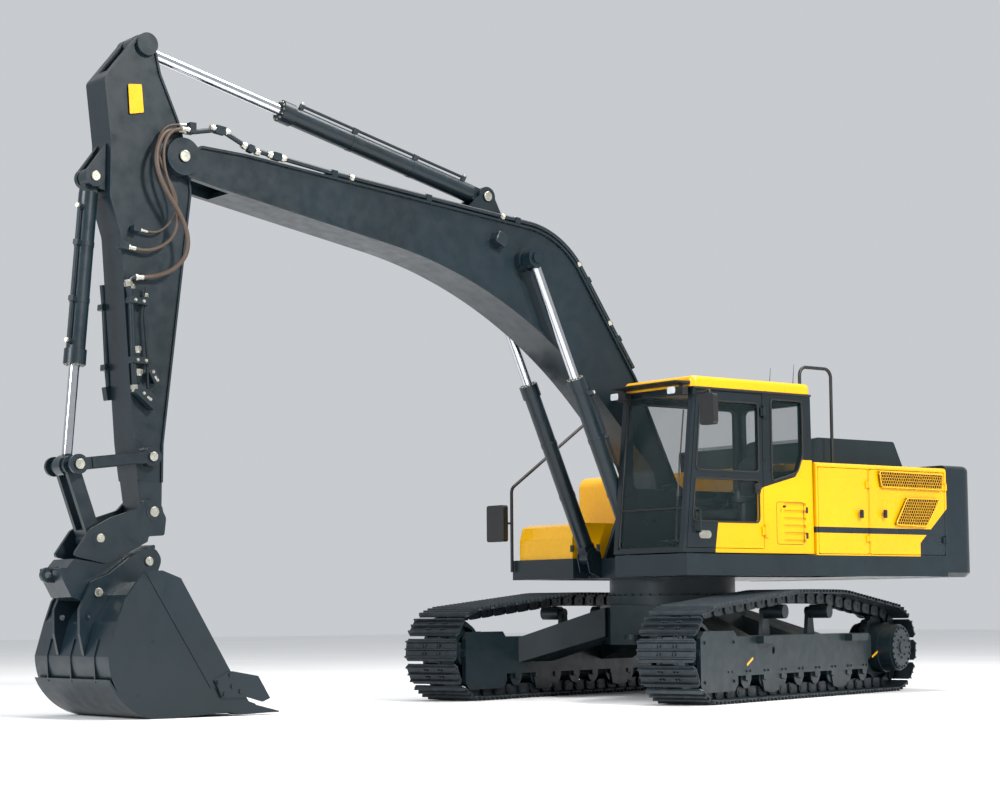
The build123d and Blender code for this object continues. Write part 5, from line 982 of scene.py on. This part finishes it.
print("loop", round(sum(spans), 3), "long, pitch", round(PITCH, 4))

# %% [markdown]
# ## One shoe with its link
# Each link carries a pressed steel shoe with three ribs, called grousers, and eight bolts. Under it
# two pairs of side plates overlap the next link's, and a pin in a bush joins them. Everything is
# drawn from the middle between two pins: x ahead, y across and z outward.

# %% One shoe with its link
# the shoe plate's inner face over the pin line, its thickness and its outer face
SHOE_LOW, SHOE_THICK, SHOE_TOP = 0.047, 0.014, 0.061
# half length of a grouser, half widths of its foot and its tip
GROUSER_HALF, RIB_FOOT, RIB_TIP = 0.296, 0.015, 0.005
# side plates: distance from the middle, thickness, rear end, front end
HALF = PITCH / 2
SIDE_PLATES = ((0.080, 0.020, -0.012, HALF + 0.038), (0.060, 0.020, -HALF - 0.038, 0.012))
SHOE_OUTLINE = (
    (-HALF + 0.030, -0.300), (-HALF - 0.004, -0.272), (-HALF - 0.004, 0.272), (-HALF + 0.030, 0.300),
    (HALF - 0.032, 0.300), (HALF - 0.004, 0.276), (HALF - 0.004, -0.276), (HALF - 0.032, -0.300),
)


def across(turned, way, y):
    """The matrix that draws (x, z) outlines and builds them across the track."""
    return turned @ Matrix(((1, 0, 0, 0), (0, 0, way, y), (0, 1, 0, 0), (0, 0, 0, 1)))


def shoe(bm, turned):
    """One shoe with its grousers and bolts."""
    prism(bm, SHOE_OUTLINE, SHOE_THICK, turned @ Matrix.Translation((0, 0, SHOE_LOW)))
    for share, tall in ((-0.34, 0.027), (0.0, 0.0275), (0.34, 0.027)):
        x, tip = share * PITCH, SHOE_TOP + tall
        rib = [(x - RIB_FOOT, 0.060), (x + RIB_FOOT, 0.060), (x + RIB_TIP, tip), (x - RIB_TIP, tip)]
        prism(bm, rib, 2 * GROUSER_HALF, across(turned, 1, -GROUSER_HALF))
    up = turned.to_3x3() @ Vector((0, 0, 1))
    for x in (-0.17 * PITCH, 0.17 * PITCH):
        for y in (-0.096, -0.066, 0.066, 0.096):
            spot = turned @ Vector((x, y, SHOE_TOP))
            rod(bm, spot, spot + up * 0.015, 0.0135, 6)


def link(bm, turned):
    """The link under a shoe: four side plates, pin and bush."""
    for rail in (-1, 1):
        for y, deep, low, high in SIDE_PLATES:
            side = [
                (low, -0.030), (low + 0.024, -0.052), (high - 0.024, -0.052), (high, -0.030),
                (high, 0.022), (high - 0.030, SHOE_LOW), (low + 0.030, SHOE_LOW), (low, 0.022),
            ]
            prism(bm, side, deep, across(turned, rail, rail * y))
    end = turned @ Matrix.Translation((HALF, 0, 0))
    # the pin, and the shorter and thicker bush round it
    for reach, radius in ((0.105, 0.021), (0.060, 0.032)):
        rod(bm, end @ Vector((0, -reach, 0)), end @ Vector((0, reach, 0)), radius, 14)


print("shoe plate with", len(SHOE_OUTLINE), "corners,", len(SIDE_PLATES), "side plates on each side")

# %% [markdown]
# ## Both tracks
# Forty-eight shoes are laid along each loop, every one turned to the straight line between its two
# pins. The lower part stands turned under the body, so the whole chain gets that turn as well.

# %% Both tracks
for name, sign in (("left", 1), ("right", -1)):
    bm = bmesh.new()
    for number in range(SHOES):
        a, b = chain_at(number * PITCH), chain_at((number + 1) * PITCH)
        mid, way = (a + b) / 2, (b - a).normalized()
        # the loop runs with the outside on its right
        out = Vector((way.y, -way.x))
        turned = SWUNG @ Matrix((
            (way.x, 0, out.x, mid.x), (0, 1, 0, sign * GAUGE / 2), (way.y, 0, out.y, mid.y), (0, 0, 0, 1)))
        shoe(bm, turned)
        link(bm, turned)
    chain = show(f"track_{name}_shoes", "undercarriage", bm, TRACK, 0.0015)
    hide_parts(f"track_{name}")
print("faces in a track", len(chain.data.polygons))

# %% [markdown]
# ## Bolts and marks below the deck
# The final drive's cover is held by two rings of bolts, the slewing bearing by forty on its
# flange, and each lower roller by two on its outer side. Four larger bolts hold the frame's plate
# at the idler. Two short yellow bars mark the left frame.

# %% Bolts and marks below the deck
# lower rollers on a side, the foremost one and the distance to the last
ROLLERS, FIRST_ROLLER, ROLLER_RUN = 9, WHEELBASE / 2 - 0.52, WHEELBASE - 1.08
# the drive cover's face from the track's middle
DRIVE_FACE = 0.318
# bolts of the slewing bearing, the radius of their circle and the flange's top
BEARING_BOLTS, BOLT_CIRCLE, FLANGE_TOP = 40, 0.655, 1.0095
low_bolts, marks = bmesh.new(), bmesh.new()
for sign in (1, -1):
    face = sign * GAUGE / 2
    out = SWUNG.to_3x3() @ Vector((0, sign, 0))
    # rings of the final drive: bolts, radius, width of a head
    for count, radius, across_flats in ((20, 0.207, 0.022), (8, 0.105, 0.018)):
        for i in range(count):
            a = 2 * pi * i / count
            spot = (-WHEELBASE / 2 + radius * cos(a), face + sign * DRIVE_FACE, AXLE_Z + radius * sin(a))
            bolt(low_bolts, SWUNG @ Vector(spot), out, across_flats, 0.012)
    for i in range(ROLLERS):
        x = FIRST_ROLLER - i * ROLLER_RUN / (ROLLERS - 1)
        for dx in (-0.038, 0.038):
            bolt(low_bolts, SWUNG @ Vector((x + dx, face + sign * 0.150, 0.285)), out, 0.020, 0.012)
    for x, z in ((1.42, 0.20), (1.42, 0.56), (1.98, 0.20), (1.98, 0.56)):
        bolt(low_bolts, SWUNG @ Vector((x, face + sign * 0.155, z)), out, 0.026, 0.014)
for i in range(BEARING_BOLTS):
    a = 2 * pi * i / BEARING_BOLTS
    bolt(low_bolts, (BOLT_CIRCLE * cos(a), BOLT_CIRCLE * sin(a), FLANGE_TOP), (0, 0, 1), 0.020, 0.016)
show("undercarriage_bolts", "undercarriage", low_bolts, LOWER)
# marks: the two ends of each bar as x, z
MARKS = (((1.156, 0.341), (1.032, 0.404)), ((-1.636, 0.360), (-1.789, 0.419)))
for (x, z), (far_x, far_z) in MARKS:
    rise = Vector((far_x - x, 0, far_z - z))
    at = SWUNG @ standing(((x + far_x) / 2, GAUGE / 2 + 0.1502, (z + far_z) / 2), (0, 1, 0), rise)
    prism(marks, rounded(rise.length, 0.022, 0.004), 0.0012, at)
show("track_frame_marks", "undercarriage", marks, YELLOW)
print("bolts under", ROLLERS, "rollers a side,", BEARING_BOLTS, "on the bearing")

# %% [markdown]
# ## Unions and clamp bolts on the boom
# The pipes on the boom are joined by zinc-plated unions, a hexagon nut with a collar, and every
# clamp is closed by two bolts. Places are given along and over the boom, as a workshop would.

# %% Unions and clamp bolts on the boom
AIM = atan2(TIP.z - FOOT.z, TIP.x - FOOT.x)


def on_boom(u, v, y):
    """A point given along and over the boom, in the frame of its foot pin."""
    return Vector((FOOT.x + u * cos(AIM) - v * sin(AIM), y, FOOT.z + u * sin(AIM) + v * cos(AIM)))


def crest(u, rise):
    """A point over the boom's top plate, whose corners are at the three places below."""
    heel, bend, nose = (0.905, 0.887), (2.377, 1.679), (5.790, 0.372)
    a, b = (heel, bend) if u < bend[0] else (bend, nose)
    lean = atan2(b[1] - a[1], b[0] - a[0])
    over = a[1] + (u - a[0]) * (b[1] - a[1]) / (b[0] - a[0])
    return u - rise * sin(lean), over + rise * cos(lean), lean


def union(bm, start, way, radius):
    """Hexagon nut and collar of a pipe union."""
    start, way = Vector(start), Vector(way).normalized()
    rod(bm, start, start + way * radius * 1.5, radius * 1.55, 6)
    rod(bm, start + way * radius * 1.5, start + way * radius * 2.3, radius * 1.25, 20)


# heights of clamp tops and pipe middles over the plate, and the side place of the clamps' bolts
CLAMP_TOP, PIPE_MID, CLAMP_Y = 0.0605, 0.036, 0.190
# pipes: side place and radius
boom_pipes = ((0.222, 0.022), (0.160, 0.017), (-0.160, 0.017), (-0.222, 0.017))
boom_zinc = bmesh.new()
for u in (1.3, 1.9, 2.9, 3.9, 4.9):
    x, z, lean = crest(u, CLAMP_TOP)
    up = on_boom(x - sin(lean), z + cos(lean), 0) - on_boom(x, z, 0)
    for y in (-CLAMP_Y, CLAMP_Y):
        bolt(boom_zinc, on_boom(x, z, y), up, 0.024, 0.018)
for u in (1.45, 2.05, 3.05, 4.70):
    for y, radius in boom_pipes:
        x, z, lean = crest(u, PIPE_MID)
        ahead = on_boom(x + cos(lean), z + sin(lean), 0) - on_boom(x, z, 0)
        union(boom_zinc, on_boom(x, z, y), ahead, radius * 0.92)
# joints of the pipe down to the arm: place and direction along and over the boom
joints = (((5.500, 0.539), (0.94, -0.33)), ((5.760, 0.450), (0.98, -0.17)), ((6.100, 0.422), (0.94, -0.34)))
for point, way in joints:
    for back in (-1, 1):
        start = on_boom(point[0] + back * 0.05 * way[0], point[1] + back * 0.05 * way[1], boom_pipes[0][0])
        union(boom_zinc, start, back * (on_boom(*way, 0) - on_boom(0, 0, 0)), 0.021)
show("boom_pipe_unions", "boom", boom_zinc, ZINC)
print("boom joined at", len(joints), "places near the arm")

# %% [markdown]
# ## Unions, clamp bolts and blank plate on the arm
# On the arm the pipes run down its left side. Their unions sit where the pipes turn, and a yellow
# plate without any writing is fixed near the top.

# %% Unions, clamp bolts and blank plate on the arm
# unions: x and z, direction, radius of the pipe
arm_unions = (
    ((6.323, 2.800), (-0.07, -1), 0.025), ((6.197, 2.745), (-0.05, -1), 0.014),
    ((6.390, 3.640), (0.2, 1), 0.025), ((6.222, 3.560), (-0.05, 1), 0.014),
    ((6.310, 3.130), (-0.08, -1), 0.025), ((6.290, 2.935), (0.05, -1), 0.025),
    ((6.140, 2.884), (-0.5, -0.86), 0.020), ((6.222, 2.705), (-0.78, -0.62), 0.026),
    ((6.360, 3.620), (0, 1), 0.018),
)
# clamps: x, z, lean in degrees and the height of the clamp's face on the arm's side
arm_clamps = (
    (6.305, 3.520, 4, 0.0843), (6.280, 3.010, 2, 0.0843),
    (6.222, 2.705, 38, 0.0763), (6.140, 2.884, 60, 0.0663),
)
# the arm's side, and the middle of the pipes beside it
ARM_SIDE, ARM_PIPE_Y = 0.170, 0.212
arm_zinc = bmesh.new()
for (x, z), (dx, dz), radius in arm_unions:
    union(arm_zinc, (x, ARM_PIPE_Y, z), (dx, 0, dz), radius)
for x, z, lean, high in arm_clamps:
    for along in (-0.04, 0.04):
        spot = (x + along * cos(radians(lean)), ARM_SIDE + high, z + along * sin(radians(lean)))
        bolt(arm_zinc, spot, (0, 1, 0), 0.020, 0.012)
show("arm_pipe_unions", "arm", arm_zinc, ZINC)

plate = bmesh.new()
corners = [(6.388, 5.403), (6.258, 5.417), (6.235, 5.173), (6.370, 5.143)]
ring = softened([Vector((x, 0.1702, z)) for x, z in corners], 0.012)
faces = [[plate.verts.new(p + Vector((0, deep, 0))) for p in ring] for deep in (0, 0.0015)]
plate.faces.new(faces[0])
plate.faces.new(faces[1])
for i in range(len(ring)):
    plate.faces.new((faces[0][i], faces[0][i - 1], faces[1][i - 1], faces[1][i]))
show("arm_blank_plate", "arm", plate, YELLOW)
print("arm unions", len(arm_unions), "and clamps", len(arm_clamps))

# %% [markdown]
# ## Lines, bands and gland bolts on the cylinders
# Oil enters a cylinder at both ends of its tube. A short port stands out there, a steel line runs
# between the ports, two bands hold it, and twelve bolts close the gland that the rod comes out of.

# %% Lines, bands and gland bolts on the cylinders
# cylinders: body of the tube, base pin, rod pin, middles, tube radius, length to the gland's end
cylinder_rows = (
    ("lift_tubes", (0.800, 1.400), (2.090, 4.255), (-0.366, 0.366), 0.080, 1.880),
    ("arm_tube", (2.450, 4.860), (6.212, 5.777), (0.0,), 0.090, 2.362),
    ("curl_tube", (6.659, 4.579), (6.852, 2.108), (0.0,), 0.082, 1.620),
)
# height of the line over the tube, half length of a band, how far the band stands on the tube
LINE_HIGH, BAND_HALF, BAND_THICK = 0.030, 0.022, 0.004
# the ports' distances from the base pin and from the gland, bolts of a gland
PORT_LOW, PORT_BACK, GLAND_BOLTS = 0.27, 0.19, 12


def band(bm, start, end, inner, outer, sides=40):
    """A flat ring round the line from start to end."""
    turned, high = standing(start, end - start), (end - start).length
    turns = [2 * pi * i / sides for i in range(sides)]
    loops = []
    for r, z in ((inner, 0), (outer, 0), (outer, high), (inner, high)):
        loops.append([bm.verts.new(turned @ Vector((r * cos(a), r * sin(a), z))) for a in turns])
    for a, b in zip(loops, loops[1:] + loops[:1]):
        for i in range(sides):
            j = (i + 1) % sides
            bm.faces.new((a[i], a[j], b[j], b[i]))


for body, base_pin, rod_pin, middles, radius, gland in cylinder_rows:
    lines, rings = bmesh.new(), bmesh.new()
    way = Vector((rod_pin[0] - base_pin[0], 0, rod_pin[1] - base_pin[1])).normalized()
    upward = Vector((-way.z, 0, way.x))
    for y in middles:
        start = Vector((base_pin[0], y, base_pin[1]))
        beside = (upward + Vector((0, 0.5 if y >= 0 else -0.5, 0))).normalized()
        for along in (PORT_LOW, gland - PORT_BACK):
            port = start + way * along
            rod(lines, port + beside * (radius - 0.012), port + beside * (radius + 0.045), 0.026, 16)
            union(rings, port + beside * (radius + LINE_HIGH), beside, 0.015)
        over = beside * (radius + LINE_HIGH)
        rod(lines, start + way * 0.29 + over, start + way * (gland - PORT_BACK) + over, 0.014, 12)
        for along in (0.36 * gland, 0.66 * gland):
            low_end, high_end = start + way * (along - BAND_HALF), start + way * (along + BAND_HALF)
            band(lines, low_end, high_end, radius - BAND_THICK, radius + BAND_THICK)
            saddle = standing(start + way * along + beside * (radius - BAND_THICK), beside, way)
            prism(lines, rounded(0.05, 0.05, 0.01), 0.05, saddle)
        for i in range(GLAND_BOLTS):
            a = 2 * pi * i / GLAND_BOLTS
            rim = (upward * cos(a) + Vector((0, 1, 0)) * sin(a)) * (radius - 0.006)
            rod(rings, start + way * gland + rim, start + way * (gland + 0.012) + rim, 0.009, 6)
    show(f"{body}_lines_and_bands", body, lines, GEAR, 0.001)
    show(f"{body}_gland_bolts", body, rings, ZINC)
print("lines on", [body for body, *_ in cylinder_rows])

# %% [markdown]
# ## Lens of the boom's work lamp
# The lamp's front is clear plastic with upright ribs that spread the light. Ribs 10 mm wide on a
# thin plate give the same broken gloss.

# %% Lens of the boom's work lamp
RIB_STEP = 0.015
lamps = bmesh.new()
at = standing((2.420, 0.3062, 4.420), (0, 1, 0), (cos(AIM), 0, sin(AIM)))
prism(lamps, rounded(0.118, 0.088, 0.020), 0.006, at)
for i in range(7):
    prism(lamps, rounded(0.010, 0.078, 0.004), 0.009, at @ Matrix.Translation((-0.045 + RIB_STEP * i, 0, 0)))
show("boom_lamp_lens", "boom", lamps, LENS, 0.001)
print("work lamp faces", [round(v, 2) for v in at.to_3x3().col[2]])

# %% [markdown]
# ## Catches and hinges of the bodywork
# The bodywork's doors have black catches and key locks near their free edges. The louvred panel in
# front is a door of its own, so it gets a seam, two hinge pins and a small lock.

# %% Catches and hinges of the bodywork


def catch(bm, x, z, y, wide=0.055, high=0.085):
    """A black flush catch: a rounded plate, a paddle and a key barrel."""
    at = outward(x, y, z)
    prism(bm, rounded(wide, high, 0.012), 0.006, at)
    prism(bm, rounded(wide * 0.66, high * 0.5, 0.008), 0.013, at)
    rod(bm, (x, y, z + high * 0.33), (x, y + 0.012, z + high * 0.33), 0.008, 14)


catches = {"service_door_front": bmesh.new(), "service_door_rear": bmesh.new(), "house": bmesh.new()}
catch(catches["service_door_front"], -1.192, 1.811, BODY_SIDE)
catch(catches["service_door_rear"], -1.540, 1.818, BODY_SIDE)
# the louvred panel's lock and its two hinge pins
LOCK_X, LOCK_Z, HINGE_X, HINGE_HALF = -0.110, 1.86, -0.425, 0.03
rod(catches["house"], (LOCK_X, SIDE_Y - 0.02, LOCK_Z), (LOCK_X, SIDE_Y + 0.006, LOCK_Z), 0.012, 16)
for z in (1.58, 1.83):
    pin_y = SIDE_Y - 0.01
    rod(catches["house"], (HINGE_X, pin_y, z - HINGE_HALF), (HINGE_X, pin_y, z + HINGE_HALF), 0.012, 12)
for body, bm in catches.items():
    show(f"catches_{body}", body, bm, PLASTIC, 0.001)

seam_corners = ((-0.056, 1.495), (-0.056, 1.908), (-0.431, 1.908), (-0.431, 1.495))
louvre_seam = softened([Vector(p) for p in on_side(seam_corners, CAB_L + 0.0004)], 0.03)
pipe("louvre_door_seam", "house", [louvre_seam], 0.0026, PLASTIC, closed=True)

# two toggle catches on the tool box's front
box_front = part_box("tool_box")[1][0]
box_catches = bmesh.new()
for y in (-0.548, -0.138):
    at = standing((box_front, y, 1.495), (1, 0, 0), (0, 1, 0))
    prism(box_catches, rounded(0.05, 0.07, 0.01), 0.008, at)
    prism(box_catches, rounded(0.028, 0.034, 0.006), 0.015, at)
show("tool_box_catches", "house", box_catches, PLASTIC, 0.001)
print("catches on", list(catches), "and the tool box")

# %% [markdown]
# ## Lamp lenses and mirror glass
# The cab's lamps have the same ribbed lenses as the boom's. A mirror is silvered glass in a black
# shell, so a thin plate of the chrome finish does for it.

# %% Lamp lenses and mirror glass
lamp_lenses = bmesh.new()
lamp_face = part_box("cab_lamps")[1][0]
for y in (0.552, 1.372):
    at = standing((lamp_face, y, 2.939), (1, 0, 0), (0, 1, 0))
    prism(lamp_lenses, rounded(0.110, 0.064, 0.016), 0.004, at)
    for i in range(6):
        rib_at = at @ Matrix.Translation((-0.0375 + RIB_STEP * i, 0, 0))
        prism(lamp_lenses, rounded(0.010, 0.056, 0.004), 0.006, rib_at)
show("cab_lamp_lenses", "house", lamp_lenses, LENS, 0.001)

# mirrors: middle of the shell, its width and height
MIRRORS = ((1.150, 1.800, 2.730, 0.190, 0.290), (1.000, -1.620, 1.785, 0.290, 0.385))
RIM, SHELL_DEEP = 0.012, 0.0302
mirrors = bmesh.new()
for x, y, z, wide, high in MIRRORS:
    facing = standing((x - SHELL_DEEP, y, z), (-1, 0, 0), (0, 1, 0))
    prism(mirrors, rounded(wide - 2 * RIM, high - 2 * RIM, 0.022), 0.002, facing)
show("mirror_glass", "house", mirrors, CHROME)
print("mirrors", len(MIRRORS))

# %% [markdown]
# ## Hood vents, filler cap and handrail feet
# Small black parts finish the top: nine black strips of painted shade that stand in for the dark
# inside of the vent slots in the hood, a screwed cap on the tank, and the bolted round feet of the
# handrail.

# %% Hood vents, filler cap and handrail feet
hood_low, hood_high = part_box("hood")
hood_slot_shade, hood_y = bmesh.new(), (hood_low[1] + hood_high[1]) / 2
VENTS, FIRST_VENT, VENT_STEP = 9, hood_low[0] + 0.20, 0.045
# the vent slots are drawn as black strips, painted shade for the dark inside of each slot
for i in range(VENTS):
    slot_at = upward_at(FIRST_VENT + i * VENT_STEP, hood_y, hood_high[2] - 0.001)
    prism(hood_slot_shade, rounded(0.020, 0.42, 0.009), 0.004, slot_at)
show("hood_vent_slots_painted_shade", "hood", hood_slot_shade, PLASTIC)

cap = bmesh.new()
cap_x, cap_y, cap_z = -0.86, -1.10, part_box("tanks")[1][2]
rod(cap, (cap_x, cap_y, cap_z - 0.004), (cap_x, cap_y, cap_z + 0.030), 0.060, 28)
rod(cap, (cap_x, cap_y, cap_z + 0.030), (cap_x, cap_y, cap_z + 0.044), 0.042, 28, 0.9)
show("filler_cap", "house", cap, PLASTIC, 0.002)

feet = bmesh.new()
FOOT_Y, FOOT_Z, FOOT_HIGH = 1.180, 2.3155, 0.008
for x in (-0.700, -1.150):
    rod(feet, (x, FOOT_Y, FOOT_Z), (x, FOOT_Y, FOOT_Z + FOOT_HIGH), 0.042, 20)
    for i in range(3):
        a = 2 * pi * i / 3
        spot = (x + 0.030 * cos(a), FOOT_Y + 0.030 * sin(a), FOOT_Z + FOOT_HIGH)
        bolt(feet, spot, (0, 0, 1), 0.012, 0.008)
show("handrail_feet", "house", feet, PLASTIC)
print("vents", VENTS, "and a filler cap", round(cap_z, 2), "up")

# %% [markdown]
# ## Floor and sky
# The machine stands on a plain pale floor with a faint mottle, so that the shadows show where each
# track touches it. The sky is an even, slightly cool white that fills the shadows.

# %% Floor and sky
REACH = 60
mesh = bpy.data.meshes.new("floor")
corners = [(-REACH, -REACH, 0), (REACH, -REACH, 0), (REACH, REACH, 0), (-REACH, REACH, 0)]
mesh.from_pydata(corners, [], [(0, 1, 2, 3)])
floor = bpy.data.objects.new("floor", mesh)
SCENE.collection.objects.link(floor)
floor_material, floor_tree, floor_shader, floor_place = new_material("pale_studio_floor")
mottle = add(floor_tree, NOISE, blotches(floor_place, 3.0, 2), "Fac")
floor_tone = add(floor_tree, RAMP, {"Fac": mottle}, "Color", [(0.3, grey(0.86)), (0.7, grey(0.9))])
floor_tree.links.new(floor_tone, floor_shader.inputs["Base Color"])
floor_shader.inputs["Roughness"].default_value = 0.9
mesh.materials.append(floor_material)
floor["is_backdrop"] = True

world = bpy.data.worlds.new("studio")
world.use_nodes = True
sky = world.node_tree.nodes["Background"]
sky.inputs["Color"].default_value = (0.93, 0.96, 1.0, 1)
sky.inputs["Strength"].default_value = 0.62
SCENE.world = world
print("floor and sky ready")

# %% [markdown]
# ## Lamps
# The photo is lit by a low sun from the cab side, so one small strong lamp stands there and throws
# clear shadows. Two broad ones, from the front and from above, keep the far sides readable.

# %% Lamps


def lamp(name, place, aim, size, power, colour=(1, 1, 1)):
    """A round area lamp that looks at a point."""
    data = bpy.data.lights.new(name, "AREA")
    data.shape = "DISK"
    data.size = size
    data.energy = power
    data.color = colour
    obj = bpy.data.objects.new(name, data)
    SCENE.collection.objects.link(obj)
    obj.location = place
    obj.rotation_euler = (Vector(aim) - Vector(place)).to_track_quat("-Z", "Y").to_euler()
    return obj


lamp("sun_side", (2, 20, 14), (1, 0, 1.5), 3, 5200, (1, 0.97, 0.92))
lamp("front_fill", (22, 2, 9), (2, 0, 2), 8, 2200, (0.95, 0.98, 1))
lamp("over_head", (-2, 2, 16), (0, 0, 1), 10, 2200)
print("lamps", len(bpy.data.lights))

# %% [markdown]
# ## Camera
# The camera stands about 23 m off, below breast height, and looks slightly up. Its place, turn and
# lens were solved from the machine's own pins and panels, so that the picture lies over the photo.

# %% Camera
SENSOR, FOCAL_PIXELS, PICTURE_WIDE = 36, 2239, 1000
VIEW_PLACE = Vector((15.549, 17.018, 0.841))
YAW, TILT, ROLL = radians(51.93), radians(5.45), radians(-0.45)
ahead = Vector((-cos(YAW) * cos(TILT), -sin(YAW) * cos(TILT), sin(TILT)))
level = ahead.cross(Vector((0, 0, 1))).normalized()
upward = level.cross(ahead)
right = cos(ROLL) * level + sin(ROLL) * upward
up = cos(ROLL) * upward - sin(ROLL) * level
camera_data = bpy.data.cameras.new("camera")
camera_data.sensor_width = SENSOR
camera_data.lens = SENSOR * FOCAL_PIXELS / PICTURE_WIDE
camera = bpy.data.objects.new("camera", camera_data)
SCENE.collection.objects.link(camera)
turn = Matrix((right, up, -ahead)).transposed().to_4x4()
camera.matrix_world = Matrix.Translation(VIEW_PLACE) @ turn
SCENE.camera = camera
SCENE.view_settings.view_transform = "Standard"
print("camera", [round(v, 2) for v in VIEW_PLACE], "lens", round(camera_data.lens, 1))

# %% [markdown]
# ## Write the two boxes and close
# The last cell prints the box round every shown piece of the dressed machine, the floor left out.

# %% The box of the dressed scene
low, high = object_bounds()
print("visual box", [round(v, 2) for v in (*low, *high)])
